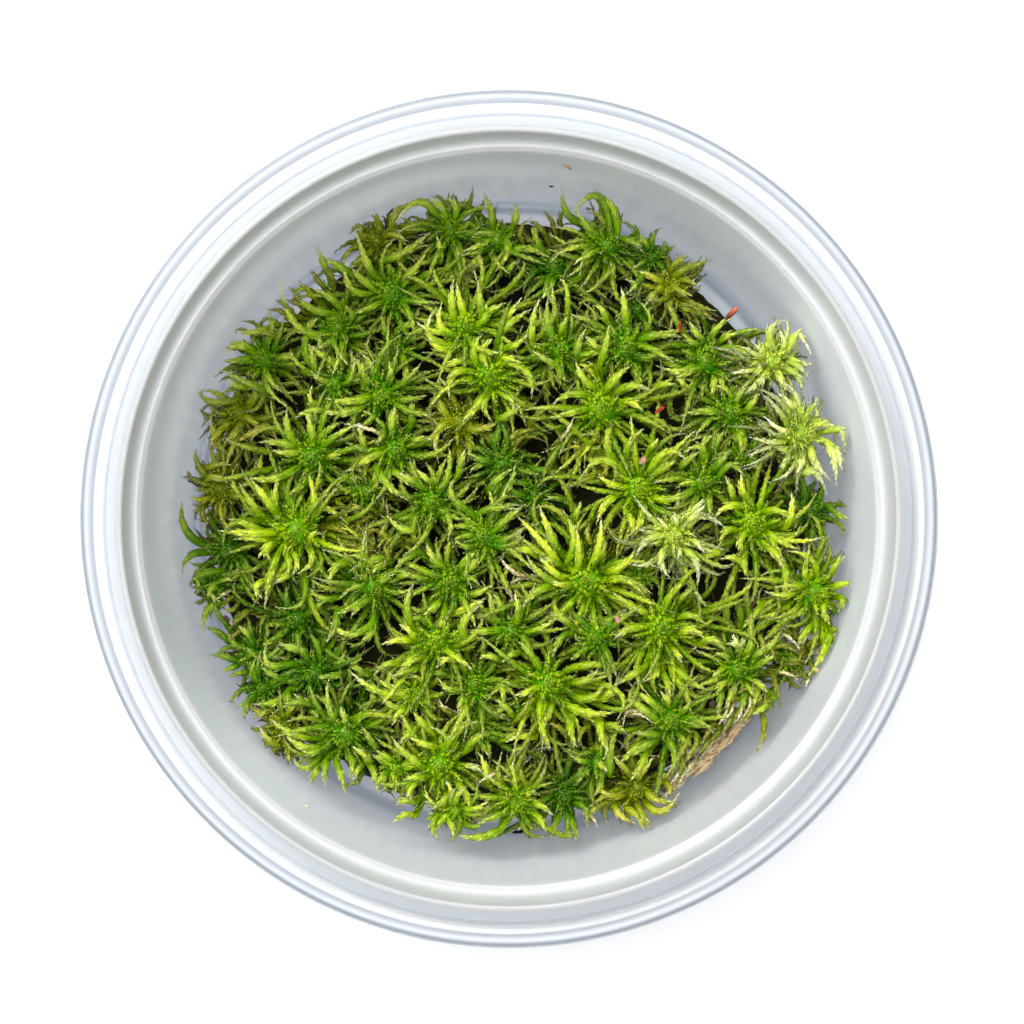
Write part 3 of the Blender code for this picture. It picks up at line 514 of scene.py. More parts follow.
# The studio: its lamps with their place, size and power, and the light from all round
Lamp = collections.namedtuple("Lamp", "name place size power")
LAMPS = [
    Lamp("key", (-0.45, 0.60, 0.85), 0.36, 8.4),
    Lamp("overhead", (-0.12, 0.20, 1.15), 0.40, 5.6),
]
SKY = (0.97, 0.985, 1)
SKY_STRENGTH = 0.66
FLOOR_COLOUR = (0.93, 0.93, 0.93)
FLOOR_GLOW = 0.28
FLOOR_HALF_SIDE = 3

# A branch: its points, its thickness, its leaves' length and how freely they stand off, its tone and
# its age. Along it the colour runs from its start towards the tip's by these shares.
Branch = collections.namedtuple("Branch", "points width leaf ruffle tone age pale start", defaults=[1.0, 0.0])
Head = collections.namedtuple("Head", "name kind centre top reach")
# What all shoots are made with: the tree that sweeps branches, the leaves and the finishes by name
Kit = collections.namedtuple("Kit", "tree leaves finishes")


# Helpers for node trees and meshes


def add(tree, kind, settings=None, inputs=None):
    """Adds a node. An input is a value or the output that feeds it, by the socket's name or number."""
    node = tree.nodes.new(kind)
    for name, value in (settings or {}).items():
        setattr(node, name, value)
    for name, value in (inputs or {}).items():
        socket = node.inputs[name]
        if isinstance(value, bpy.types.NodeSocket):
            tree.links.new(value, socket)
        else:
            socket.default_value = value
    return node


def named(tree, name):
    """The value of a named attribute, in a Geometry Nodes tree."""
    return add(tree, "GeometryNodeInputNamedAttribute", {"data_type": "FLOAT"}, {"Name": name}).outputs[0]


def by_chance(tree, low, high, seed):
    """A value by chance for each branch point or leaf, in a Geometry Nodes tree."""
    values = {2: low, 3: high, "Seed": seed}
    return add(tree, "FunctionNodeRandomValue", {"data_type": "FLOAT"}, values).outputs[1]


def turned_about(tree, rotation, axis, angle):
    """A rotation turned further about one of its own axes."""
    turn = add(tree, "FunctionNodeAxisAngleToRotation", None, {"Axis": axis, "Angle": angle}).outputs[0]
    sockets = {"Rotation": rotation, "Rotate By": turn}
    return add(tree, "FunctionNodeRotateRotation", {"rotation_space": "LOCAL"}, sockets).outputs[0]


def maths(tree, operation, a, b):
    """A sum, product or power of two values."""
    return add(tree, "ShaderNodeMath", {"operation": operation}, {0: a, 1: b}).outputs[0]


def scaled(tree, value, factor, base):
    """A value times a factor, plus a base."""
    values = {0: value, 1: factor, 2: base}
    return add(tree, "ShaderNodeMath", {"operation": "MULTIPLY_ADD"}, values).outputs[0]


def new_tree(name, sockets):
    """A Geometry Nodes tree with its named inputs, and its input and output nodes."""
    tree = bpy.data.node_groups.new(name, "GeometryNodeTree")
    tree.interface.new_socket("Geometry", in_out="INPUT", socket_type="NodeSocketGeometry")
    for label, kind in sockets.items():
        tree.interface.new_socket(label, in_out="INPUT", socket_type=f"NodeSocket{kind}")
    tree.interface.new_socket("Geometry", in_out="OUTPUT", socket_type="NodeSocketGeometry")
    return tree, tree.nodes.new("NodeGroupInput"), tree.nodes.new("NodeGroupOutput")


def grow(name, lines, tree, values):
    """Runs a tree on a mesh of lines and gives the result as a plain mesh."""
    seedling = bpy.data.objects.new(name + "_lines", lines)
    bpy.context.scene.collection.objects.link(seedling)
    modifier = seedling.modifiers.new("grow", "NODES")
    modifier.node_group = tree
    sockets = {item.name: item.identifier for item in tree.interface.items_tree if item.in_out == "INPUT"}
    for label, value in values.items():
        modifier[sockets[label]] = value
    bpy.context.view_layer.update()
    scene = bpy.context.evaluated_depsgraph_get()
    mesh = bpy.data.meshes.new_from_object(seedling.evaluated_get(scene), depsgraph=scene)
    bpy.data.objects.remove(seedling, do_unlink=True)
    bpy.data.meshes.remove(lines)
    mesh.name = name
    return mesh


def finished_mesh(name, shape, finish=None):
    """The mesh of a bmesh, shaded smooth, with its finish."""
    for face in shape.faces:
        face.smooth = True
    mesh = bpy.data.meshes.new(name)
    shape.to_mesh(mesh)
    shape.free()
    if finish:
        mesh.materials.append(finish)
    return mesh


def piece_from(name, meshes, slot, *nodes):
    """Joins meshes to one piece that rides on the only body and stands for its solids."""
    joined = bmesh.new()
    materials = []
    for mesh in meshes:
        first = len(joined.faces)
        joined.from_mesh(mesh)
        joined.faces.ensure_lookup_table()
        for material in mesh.materials:
            if material and material not in materials:
                materials.append(material)
        order = [materials.index(material) if material else None for material in mesh.materials]
        for face in joined.faces[first:]:
            face.material_index = order[face.material_index]
        bpy.data.meshes.remove(mesh)
    whole = bpy.data.meshes.new(name)
    joined.to_mesh(whole)
    joined.free()
    for material in materials:
        whole.materials.append(material)
    piece = bpy.data.objects.new(name, whole)
    bpy.context.scene.collection.objects.link(piece)
    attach(piece, "root")
    if nodes:
        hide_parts(*nodes)
    return piece


# Branches


def wall_radius(height):
    """How far the wall's inner face stands from the tub's middle at a height."""
    share = (height - FLOOR_HEIGHT) / (WALL_TOP_HEIGHT - FLOOR_HEIGHT)
    return WALL_FOOT_RADIUS + share * (WALL_TOP_RADIUS - WALL_FOOT_RADIUS)


def kept_inside(point, margin):
    """A point moved off the tub's wall or floor where a branch would run through it."""
    height = max(point.z, FLOOR_HEIGHT + margin)
    outward = math.hypot(point.x, point.y)
    limit = wall_radius(height) - WALL_CLEARANCE - margin
    shrink = min(1.0, limit / outward) if outward > 0 else 1.0
    return Vector((point.x * shrink, point.y * shrink, height))


def arc(start, heading, rise, fall, sway, length, points):
    """Points along a branch: it starts at one slope and ends at another, and sways to a side."""
    step = length / (points - 1)
    place = start.copy()
    line = [place.copy()]
    for number in range(1, points):
        share = (number - 0.5) / (points - 1)
        slope = rise + (fall - rise) * share**1.25
        turned = heading + sway * share
        place += step * Vector(
            (math.cos(slope) * math.cos(turned), math.cos(slope) * math.sin(turned), math.sin(slope))
        )
        line.append(place.copy())
    return line


def new_branch(line, width, leaf, head, age, chance):
    """A branch placed by chance, kept inside the tub, with its own shade, age and ruffle."""
    ruffle = RUFFLE[head.kind] * chance.random() ** 3
    age = min(1.0, max(0.0, age + chance.uniform(-0.12, 0.12)))
    placed = [kept_inside(point, width) for point in line]
    # the tone darkens with age: partly duller old colour, partly painted shade deep in the clump
    return Branch(placed, width, leaf, ruffle, chance.random() * (1 - AGE_AND_PAINTED_SHADE * age), age)


def clear_of(heading, taken):
    """Whether a heading keeps clear of those of the branches that were seen."""
    return all(abs((heading - other + math.pi) % math.tau - math.pi) > KEEP_CLEAR for other in taken)


def photo_place(x, y, height):
    """Where a pixel of the photograph lies at a height."""
    size = (CAMERA_PLACE.z - height) / (CAMERA_PLACE.z - FLANGE_HEIGHT) / PIXELS_PER_METRE
    across = (x - PHOTO_SIDE_PX / 2) * size + CAMERA_PLACE.x
    along = (PHOTO_SIDE_PX / 2 - y) * size + CAMERA_PLACE.y
    return Vector((across, along))


def in_view(place):
    """The pixel of the photograph that shows a place."""
    size = (CAMERA_PLACE.z - place.z) / (CAMERA_PLACE.z - FLANGE_HEIGHT) / PIXELS_PER_METRE
    x = (place.x - CAMERA_PLACE.x) / size + PHOTO_SIDE_PX / 2
    y = PHOTO_SIDE_PX / 2 - (place.y - CAMERA_PLACE.y) / size
    return x, y


def allowed(branch, spots):
    """Whether a branch placed by chance ends inside the clump and leaves the bare spots bare."""
    for place in (branch.points[-1], branch.points[len(branch.points) // 2]):
        if any(math.dist(in_view(place), spot[0:2]) < spot[2] for spot in BARE_SPOTS):
            return False
    end = branch.points[-1].xy
    near = [head for head in spots if (head.centre - end).length < EDGE_REACH * head.reach]
    return end.length < INNER_RADIUS or len(near) > 0


def whorl_branches(whorl, head, tilt, chance, crown, taken=()):
    """The branches of one whorl of a head, which leave the stem in clusters."""
    branches = []
    heading = chance.uniform(0, math.tau)
    end = heading + math.tau - 0.5 * math.tau / whorl.clusters
    while heading < end:
        for number in range(chance.choice(CLUSTER_SIZES)):
            aimed = heading + (number - 0.5) * CLUSTER_FAN + chance.gauss(0, 0.08)
            out = Vector((math.cos(aimed), math.sin(aimed), 0)) * whorl.start * head.reach
            start = out - UP * (whorl.drop + 0.05 * number) * head.reach
            length = head.reach * (whorl.length + chance.uniform(-1, 1) * whorl.spread)
            rise = math.radians(whorl.rise + chance.uniform(*RISE_STRAY))
            fall = math.radians(whorl.fall + chance.uniform(*FALL_STRAY))
            sway = chance.gauss(0, 1) * whorl.sway
            line = arc(start, aimed, rise, fall, sway, length, whorl.points)
            width = whorl.width * MM * chance.uniform(0.70, 1.08)
            leaf = whorl.leaf * MM * chance.uniform(0.9, 1.1)
            line = [tilt @ point + crown for point in line]
            if clear_of(aimed, taken):
                branches.append(new_branch(line, width, leaf, head, whorl.age, chance))
        heading += math.tau / whorl.clusters * chance.uniform(0.75, 1.25)
    return branches


def gap_branches(heads, chance):
    """Branches that rise from the shoots into the gaps between the heads, listed by shoot."""
    found = collections.defaultdict(list)
    steps = int(CLUMP_RADIUS / GAP_PITCH)
    for row in range(-steps, steps + 1):
        for column in range(-steps, steps + 1):
            shift = Vector((chance.uniform(-0.4, 0.4), chance.uniform(-0.4, 0.4)))
            spot = (Vector((column, row)) + shift) * GAP_PITCH
            if spot.length > CLUMP_RADIUS - 0.5 * MM:
                continue
            near = sorted(heads, key=lambda head: (head.centre - spot).length / head.reach)
            if (near[0].centre - spot).length < GAP_FROM * near[0].reach:
                continue
            for head in near[: chance.choice((1, 2))]:
                found[head.name].append(gap_branch(head, spot, chance))
    return found


def curve_through(start, middle, end, points):
    """Points along a curve with even bend from the start through the middle to the end."""
    bend = 2 * middle - (start + end) / 2
    line = []
    for number in range(points):
        share = number / (points - 1)
        line.append((1 - share) ** 2 * start + 2 * share * (1 - share) * bend + share**2 * end)
    return line


def seen_branch(spot, style, head, chance):
    """A branch at its place in the photograph. It droops further the further it is from the stem, and
    one that comes into view beside the head leaves the stem lower down."""
    lift = chance.uniform(-0.05, 0.05)
    placed = []
    for x, y, arch in ((*spot[0:2], -0.16), (*spot[2:4], 0.07), (*spot[4:6], 0.0)):
        height = head.top - 0.2 * head.reach
        for _ in range(2):
            place = photo_place(x, y, height)
            out = (place - head.centre).length / head.reach
            height = head.top - (0.15 + 0.06 * out + 0.15 * min(out, 1.7) ** 2 - arch + lift) * head.reach
        placed.append(Vector((*place, height)))
    line = curve_through(*placed, 9)
    if (placed[0].xy - head.centre).length > 0.34 * head.reach:
        line.insert(0, Vector((*head.centre, placed[0].z - 0.4 * head.reach)))
    look = SEEN_LOOKS[style]
    long_px = math.dist(spot[0:2], spot[2:4]) + math.dist(spot[2:4], spot[4:6])
    width = look.width * MM * (0.62 + 0.38 * min(1.0, long_px / SEEN_LONG_PX)) * chance.uniform(0.9, 1.08)
    leaf = look.leaf * MM * chance.uniform(0.9, 1.1)
    ruffle = look.ruffle * chance.random() ** 2
    line = [kept_inside(point, width) for point in line]
    tone, age = chance.uniform(0.35, 1.0), look.age * chance.uniform(0.7, 1.2)
    return Branch(line, width, leaf, ruffle, tone, age, 1.0, SEEN_START)


def gap_branch(head, spot, chance):
    """One branch from a shoot's stem up through a spot beside the head and over to its end."""
    top = head.top - GAP_DROP * head.reach * chance.uniform(0.6, 1.5)
    start = Vector((*head.centre, head.top - chance.uniform(0.8, 1.1) * head.reach))
    middle = Vector((*spot, top))
    outward = (middle - start).normalized()
    turned = Matrix.Rotation(chance.gauss(0, 0.9), 3, "Z") @ Vector((outward.x, outward.y, 0)).normalized()
    end = middle + turned * 0.55 * head.reach - UP * chance.uniform(-0.1, 0.5) * head.reach
    line = curve_through(start, middle, end, 9)
    width = GAP_WIDTH * MM * chance.uniform(0.7, 1.1)
    return new_branch(line, width, chance.uniform(1.25, 1.5) * MM, head, chance.uniform(0.05, 0.40), chance)


def bud_branches(head, tilt, chance, crown):
    """The short branches that stand up round the dome of the bud, in a spiral."""
    branches = []
    first = chance.uniform(0, math.tau)
    for number in range(BUD_COUNT):
        share = (number + 0.5) / BUD_COUNT
        heading = first + number * GOLDEN_TURN
        outward = Vector((math.cos(heading), math.sin(heading), 0))
        start = outward * (0.16 + 0.18 * share) * head.reach - UP * (0.30 + 0.10 * share) * head.reach
        slope = math.radians(66 - 36 * share + chance.uniform(-10, 10))
        length = head.reach * BUD_LENGTH * chance.uniform(0.75, 1.15)
        line = arc(start, heading, slope, slope - 0.6, chance.gauss(0, 0.4), length, 5)
        placed = [kept_inside(tilt @ point + crown, BUD_WIDTH * MM) for point in line]
        tone = chance.random()
        width = BUD_WIDTH * MM * chance.uniform(0.85, 1.15)
        branches.append(Branch(placed, width, BUD_LEAF * MM, BUD_RUFFLE, tone, 0.0, BUD_PALENESS, 0.1))
    return branches


def dome(head, tilt, crown):
    """The round bud itself, a thick short branch that closes over the tip of the stem."""
    points = []
    for number in range(7):
        below = DOME_DROP + DOME_HEIGHT * (1 - math.sin(number / 6 * math.pi / 2))
        points.append(tilt @ (UP * -below * head.reach) + crown)
    return Branch(points, DOME_RADIUS * head.reach, 0.5 * MM, 0.0, 0.3, 0.0, DOME_PALENESS)


def tuft(head, tilt, crown):
    """The line inside the bud that its fine leaves stand out from."""
    points = []
    for number in range(9):
        below = TUFT_FOOT - TUFT_HEIGHT * number / 8
        points.append(tilt @ (UP * -below * head.reach) + crown)
    start = TUFT_PALENESS - 0.06
    return Branch(points, TUFT_RADIUS, TUFT_LEAF * head.reach, 0.0, 0.8, 0.0, TUFT_PALENESS, start)


def even(share):
    """The same thickness all along."""
    return 1.0


def tuft_lean(share):
    """How far a bud's fine leaves lean from the upright: level at the foot, upright at the top."""
    return math.acos(share)


def taper(share):
    """A branch's thickness along its length, as a share: fullest in the first half, then a point."""
    return min(1.0, 0.66 + 1.3 * share) * max(0.03, 1 - share**2.4)


def rounding(share):
    """The dome's thickness along its length."""
    return max(0.02, math.cos(share * math.pi / 2))


def lines_mesh(branches, profile=taper, blade=LEAF_WIDTH, lean=None):
    """The branches as lines, with what the leaves and the finish need to know at each point."""
    places, edges = [], []
    values = {"along": [], "thick": [], "leaf": [], "blade_width": [], "ruffle": [], "tone": [], "age": []}
    for branch in branches:
        first = len(places)
        last = len(branch.points) - 1
        for number, point in enumerate(branch.points):
            share = number / last
            full = profile(share)
            places.append(point)
            values["along"].append(branch.start + share * (branch.pale - branch.start))
            values["thick"].append(branch.width * full)
            values["leaf"].append(branch.leaf * (1 - 0.45 * share**2))
            values["blade_width"].append(blade * (0.25 + 0.75 * full))
            values["ruffle"].append(lean(share) if lean else branch.ruffle)
            values["tone"].append(branch.tone)
            values["age"].append(branch.age)
        edges += [(first + number, first + number + 1) for number in range(last)]
    mesh = bpy.data.meshes.new("lines")
    mesh.from_pydata(places, edges, [])
    for name, numbers in values.items():
        mesh.attributes.new(name, "FLOAT", "POINT").data.foreach_set("value", numbers)
    return mesh


def leaf_mesh(name, stations, foot=(0.6, 0, 0), point=(0.80, 0, 1)):
    """A leaf as a thin closed boat that points up and stands off towards +X. Its X is a share of the
    branch's radius, its Y of the leaf's width and its Z of the leaf's length."""
    shape = bmesh.new()
    blade = shape.verts.layers.float.new("blade")
    # the margin layer marks each leaf's edges and tip, which the finish paints creamy: partly pale leaf
    # margins, partly a painted highlight
    margin = shape.verts.layers.float.new("margin")

    def corner(x, y, z):
        vertex = shape.verts.new((x, y, z))
        vertex[blade] = z
        vertex[margin] = 1.0 if y != 0 or z == 1 else 0.0
        return vertex

    base = corner(*foot)
    tip = corner(*point)
    rows = []
    for up, out, half, hollow in stations:
        rows.append([corner(out - hollow, -half, up), corner(out, 0, up), corner(out - hollow, half, up)])
    for below, above in zip([[base] * 3] + rows, rows + [[tip] * 3]):
        for side in range(3):
            following = (side + 1) % 3
            loop = [below[side], below[following], above[following], above[side]]
            shape.faces.new(list(dict.fromkeys(loop)))
    bmesh.ops.recalc_face_normals(shape, faces=shape.faces)
    return bpy.data.objects.new(name, finished_mesh(name, shape))


def leafy_tree():
    """Sweeps each line to a tapering branch and sets leaves round it in a spiral."""
    sockets = {
        "Leaf": "Object",
        "Leaf Spacing": "Float",
        "Leaf Turn": "Float",
        "Leaf Stray": "Float",
        "Branch Sides": "Int",
        "Seed": "Int",
        "Finish": "Material",
    }
    tree, given, result = new_tree("leafy_branches", sockets)
    leaf, spacing, turn, stray, sides, seed, finish = [given.outputs[label] for label in sockets]
    curves = add(tree, "GeometryNodeMeshToCurve", None, {"Mesh": given.outputs["Geometry"]}).outputs[0]
    values = {"Curve": curves, "Length": spacing}
    spots = add(tree, "GeometryNodeCurveToPoints", {"mode": "LENGTH"}, values).outputs

    number = add(tree, "GeometryNodeInputIndex").outputs[0]
    astray = maths(tree, "MULTIPLY", by_chance(tree, -1.0, 1.0, 23), stray)
    spin = maths(tree, "ADD", maths(tree, "MULTIPLY", number, turn), astray)
    lifted = maths(tree, "ADD", by_chance(tree, -0.04, 0.05, seed), named(tree, "ruffle"))
    lean = maths(tree, "ADD", lifted, astray)
    placed = turned_about(tree, spots["Rotation"], (0, 0, 1), spin)
    placed = turned_about(tree, placed, (0, 1, 0), lean)
    length = maths(tree, "MULTIPLY", by_chance(tree, 0.82, 1.16, seed), named(tree, "leaf"))
    values = {0: named(tree, "thick"), 1: named(tree, "blade_width"), 2: length}
    size = add(tree, "ShaderNodeCombineXYZ", None, values).outputs[0]
    shape = add(tree, "GeometryNodeObjectInfo", None, {"Object": leaf}).outputs["Geometry"]
    values = {"Points": spots["Points"], "Instance": shape, "Rotation": placed, "Scale": size}
    leaves = add(tree, "GeometryNodeInstanceOnPoints", None, values).outputs[0]
    values = {"Geometry": leaves, "Name": "leaf_tone", "Value": by_chance(tree, 0.0, 1.0, 7)}
    each_leaf = {"data_type": "FLOAT", "domain": "INSTANCE"}
    leaves = add(tree, "GeometryNodeStoreNamedAttribute", each_leaf, values).outputs[0]

    values = {"Resolution": sides, "Radius": 1.0}
    ring = add(tree, "GeometryNodeCurvePrimitiveCircle", None, values).outputs[0]
    values = {"Curve": curves, "Profile Curve": ring, "Scale": named(tree, "thick"), "Fill Caps": True}
    cores = add(tree, "GeometryNodeCurveToMesh", None, values).outputs[0]
    both = add(tree, "GeometryNodeJoinGeometry")
    tree.links.new(leaves, both.inputs[0])
    tree.links.new(cores, both.inputs[0])
    real = add(tree, "GeometryNodeRealizeInstances", None, {"Geometry": both.outputs[0]}).outputs[0]
    smooth = add(tree, "GeometryNodeSetShadeSmooth", None, {"Geometry": real}).outputs[0]
    values = {"Geometry": smooth, "Material": finish}
    tree.links.new(add(tree, "GeometryNodeSetMaterial", None, values).outputs[0], result.inputs[0])
    return tree


# Finishes


def new_finish(name):
    """A material, its tree and its shader."""
    material = bpy.data.materials.new(name)
    material.use_nodes = True
    tree = material.node_tree
    return material, tree, tree.nodes["Principled BSDF"]


def attribute(tree, name):
    """The value of a mesh's layer, in a material."""
    return add(tree, "ShaderNodeAttribute", {"attribute_name": name}).outputs["Fac"]


def blend(tree, share, a, b, kind="MIX"):
    """Mixes two colours, each a colour or the output that gives it."""
    values = {0: share}
    for number, colour in ((6, a), (7, b)):
        values[number] = colour if isinstance(colour, bpy.types.NodeSocket) else (*colour, 1)
    return add(tree, "ShaderNodeMix", {"data_type": "RGBA", "blend_type": kind}, values).outputs[2]


def ramp(tree, share, stops):
    """The colour at a share of the way through stops of place and colour."""
    node = add(tree, "ShaderNodeValToRGB", None, {0: share})
    node.color_ramp.interpolation = "EASE"
    elements = node.color_ramp.elements
    for end, (place, colour) in ((0, stops[0]), (-1, stops[-1])):
        elements[end].position = place
        elements[end].color = (*colour, 1)
    for place, colour in stops[1:-1]:
        elements.new(place).color = (*colour, 1)
    return node.outputs[0]


def noise(tree, scale, detail=2.0):
    """Soft patches all through the piece, as a value about 0.5."""
    place = add(tree, "ShaderNodeTexCoord").outputs["Object"]
    values = {"Vector": place, "Scale": scale, "Detail": detail}
    return add(tree, "ShaderNodeTexNoise", None, values).outputs[0]


def stretch(tree, value, low, high):
    """A value between two bounds as a share from 0 to 1."""
    values = {"Value": value, "From Min": low, "From Max": high}
    return add(tree, "ShaderNodeMapRange", None, values).outputs[0]


def relief(tree, shader, grain, strength, depth):
    """Fine bumps that follow a noise."""
    values = {"Strength": strength, "Distance": depth, "Height": grain}
    tree.links.new(add(tree, "ShaderNodeBump", None, values).outputs[0], shader.inputs["Normal"])


def stretched(tree, place, factors):
    """A place with each of its coordinates times a factor."""
    return add(tree, "ShaderNodeVectorMath", {"operation": "MULTIPLY"}, {0: place, 1: factors}).outputs[0]


def moss_finish(name, look):
    """Live leaves: dark at the heart, lighter outwards, creamy at the tips, duller with age. The creamy leaf
    margins towards the tips are partly the leaves' pale margins and partly a painted highlight.
    """
    material, tree, shader = new_finish(name)
    along = attribute(tree, "along")
    tone = attribute(tree, "tone")
    up_the_leaf = maths(tree, "MULTIPLY", attribute(tree, "blade"), 0.06)
    outer = maths(tree, "ADD", maths(tree, "MULTIPLY", along, 0.92), up_the_leaf)
    mottled = maths(tree, "ADD", outer, scaled(tree, noise(tree, 420, 0), 0.30, -0.15))
    young = ramp(tree, mottled, [(0.0, look.heart), (0.34, look.body), (0.72, look.light), (1.0, look.tip)])
    # creamy leaf margins on the outer part of a branch: partly the pale margins the leaves have, partly a
    # painted highlight
    margin = maths(tree, "POWER", attribute(tree, "margin"), 1.1)
    outward = maths(tree, "MULTIPLY", stretch(tree, along, 0.28, 0.95), 0.78)
    young = blend(tree, maths(tree, "MULTIPLY", margin, outward), young, look.tip)
    old = blend(tree, noise(tree, 160, 0), OLD_GREEN, OLD_BROWN)
    aged = blend(tree, attribute(tree, "age"), young, old)
    leaf_tone = scaled(tree, attribute(tree, "leaf_tone"), 0.22, 0.89)
    strength = maths(tree, "MULTIPLY", scaled(tree, tone, 0.57, 0.50), leaf_tone)
    values = {"Hue": scaled(tree, tone, -0.035, 0.517), "Value": strength, "Color": aged}
    varied = add(tree, "ShaderNodeHueSaturation", None, values).outputs[0]
    tree.links.new(varied, shader.inputs["Base Color"])
    tree.links.new(scaled(tree, noise(tree, 900, 0), 0.24, 0.18), shader.inputs["Roughness"])
    relief(tree, shader, noise(tree, 3600, 0), 0.25, 0.03 * MM)
    shader.inputs["Specular IOR Level"].default_value = 0.42
    shader.inputs["Specular Tint"].default_value = (*LEAF_GLOSS, 1)
    return material


def peat_and_painted_shade_finish():
    """Wet dark peat and rotten leaves, darkened to near black, which also stands as painted shade in the deep
    gaps between the heads.
    """
    material, tree, shader = new_finish("wet_peat")
    colour = blend(tree, noise(tree, 700, 3), PEAT_AND_PAINTED_SHADE, LIGHTER_PEAT_AND_PAINTED_SHADE)
    tree.links.new(colour, shader.inputs["Base Color"])
    shader.inputs["Roughness"].default_value = 0.8
    shader.inputs["Specular IOR Level"].default_value = 0.2
    return material


def litter_finish(name, dark, light):
    """Dry litter: two colours in patches and fine grain."""
    material, tree, shader = new_finish(name)
    patch = maths(tree, "ADD", noise(tree, 900, 3), maths(tree, "MULTIPLY", noise(tree, 4200), 0.5))
    colour = blend(tree, stretch(tree, patch, 0.45, 1.0), dark, light)
    tree.links.new(colour, shader.inputs["Base Color"])
    relief(tree, shader, noise(tree, 2600, 3), 0.5, 0.08 * MM)
    shader.inputs["Roughness"].default_value = 0.7
    shader.inputs["Specular IOR Level"].default_value = 0.25
    return material


def stalk_finish():
    """Olive stalk that turns red towards its tip."""
    material, tree, shader = new_finish("red_tipped_stalk")
    mottled = maths(tree, "ADD", attribute(tree, "along"), maths(tree, "MULTIPLY", noise(tree, 1500), 0.16))
    tree.links.new(ramp(tree, mottled, STALK_COLOURS), shader.inputs["Base Color"])
    shader.inputs["Roughness"].default_value = 0.4
    return material


def tub_finish():
    """Milky polypropylene: light spreads through its wall, and a little of what lies behind it shows. Rings
    of painted highlight and painted shade run round it by the distance from its middle.
    """
    material, tree, shader = new_finish("frosted_polypropylene")
    place = add(tree, "ShaderNodeTexCoord").outputs["Object"]
    level = stretched(tree, place, (1, 1, 0))
    outward = add(tree, "ShaderNodeVectorMath", {"operation": "LENGTH"}, {0: level}).outputs[1]
    # painted highlights and painted shade in rings by the distance from the middle
    share = stretch(tree, outward, TUB_PAINTED_RINGS_FROM * MM, TUB_PAINTED_RINGS_TO * MM)
    span = TUB_PAINTED_RINGS_TO - TUB_PAINTED_RINGS_FROM
    stops = [((radius - TUB_PAINTED_RINGS_FROM) / span, colour) for radius, colour in TUB_PAINTED_LIGHT_AND_SHADE]
    painted_rings = ramp(tree, share, stops)
    # pale upright streaks: partly dried traces, partly a painted reflection of the moss
    values = {"Vector": stretched(tree, place, (1, 1, TRACE_AND_REFLECTION_UPRIGHT)), "Scale": TRACE_AND_REFLECTION_SCALE, "Detail": 3}
    traces_and_reflections = add(tree, "ShaderNodeTexNoise", None, values).outputs[0]
    height = add(tree, "ShaderNodeSeparateXYZ", None, {0: place}).outputs[2]
    below_rim = stretch(tree, height, WALL_TOP_HEIGHT - 2 * MM, WALL_TOP_HEIGHT - 14 * MM)
    above_floor = stretch(tree, height, FLOOR_HEIGHT + 2 * MM, FLOOR_HEIGHT + 8 * MM)
    on_wall = maths(tree, "MULTIPLY", below_rim, above_floor)
    traced_and_reflected = maths(tree, "MULTIPLY", stretch(tree, traces_and_reflections, 0.44, 0.80), on_wall)
    tree.links.new(blend(tree, traced_and_reflected, painted_rings, TRACE_AND_REFLECTION_COLOUR), shader.inputs["Base Color"])
    tree.links.new(scaled(tree, noise(tree, 60, 4), 0.12, 0.26), shader.inputs["Roughness"])
    shader.inputs["Sheen Weight"].default_value = 0.8
    shader.inputs["Sheen Roughness"].default_value = 0.4
    shader.inputs["Sheen Tint"].default_value = (*SHEEN_TINT, 1)
    shader.inputs["Transmission Weight"].default_value = 0.15
    shader.inputs["Subsurface Weight"].default_value = 1.0
    shader.inputs["Subsurface Radius"].default_value = (1, 1, 1)
    shader.inputs["Subsurface Scale"].default_value = MILKY_DEPTH
    shader.inputs["IOR"].default_value = 1.49
    return material


# Pieces


def head_of(name):
    """A shoot's head, read from its solid: the middle and height of its top, and its reach."""
    places = [vertex.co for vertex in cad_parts[name].data.vertices]
    crown = max(places, key=lambda place: place.z)
    lowest = min(place.z for place in places if place.z > MAT_TOP + 1 * MM)
    reach = (crown.z - lowest) / HEAD_DROP
    return Head(name, name.split("_")[0], Vector((crown.x, crown.y)).freeze(), crown.z, reach)


def head_tilt(head, chance):
    """How a head leans: outwards at the clump's edge, and a little by chance."""
    lean = EDGE_LEAN * (head.centre.length / CLUMP_RADIUS) ** 3
    across = Vector((-head.centre.y, head.centre.x, 0)).normalized()
    either_way = Euler([chance.gauss(0, CHANCE_LEAN), chance.gauss(0, CHANCE_LEAN), 0]).to_matrix()
    return either_way @ Matrix.Rotation(lean, 3, across)


def stem_branch(head, tilt, chance):
    """The stem from the head down into the mat."""
    top = Vector((*head.centre, head.top - 0.1 * head.reach))
    below = tilt @ Vector((0, 0, -1.3 * head.reach)) + top
    drift = Vector((chance.uniform(-1, 1), chance.uniform(-1, 1), 0)) * STEM_DRIFT
    foot = Vector((below.x, below.y, MAT_TOP - STEM_SUNK)) + drift
    line = [top.lerp(below, share) for share in (0, 0.5)]
    line += [below.lerp(foot, share) for share in (0.15, 0.55, 1.0)]
    placed = [kept_inside(point, STEM_CLEARANCE) for point in line]
    return Branch(placed, STEM_RADIUS, STEM_LEAF, 0.02, 0.4, 0.8)


def side_head(parent, spot):
    """A smaller head beside and below a shoot's own, at its place in the photograph."""
    top = parent.top - spot.drop * MM
    centre = photo_place(spot.x, spot.y, top).freeze()
    reach = (photo_place(spot.x + spot.reach, spot.y, top) - centre).x
    return Head(parent.name, parent.kind, centre, top, reach)


def leafy(kit, name, branches, leaf, spacing, sides, seed, finish):
    """Branches set with leaves in five rows."""
    return swept(kit, name, lines_mesh(branches), leaf, spacing, sides, seed, finish, LEAF_TURN)


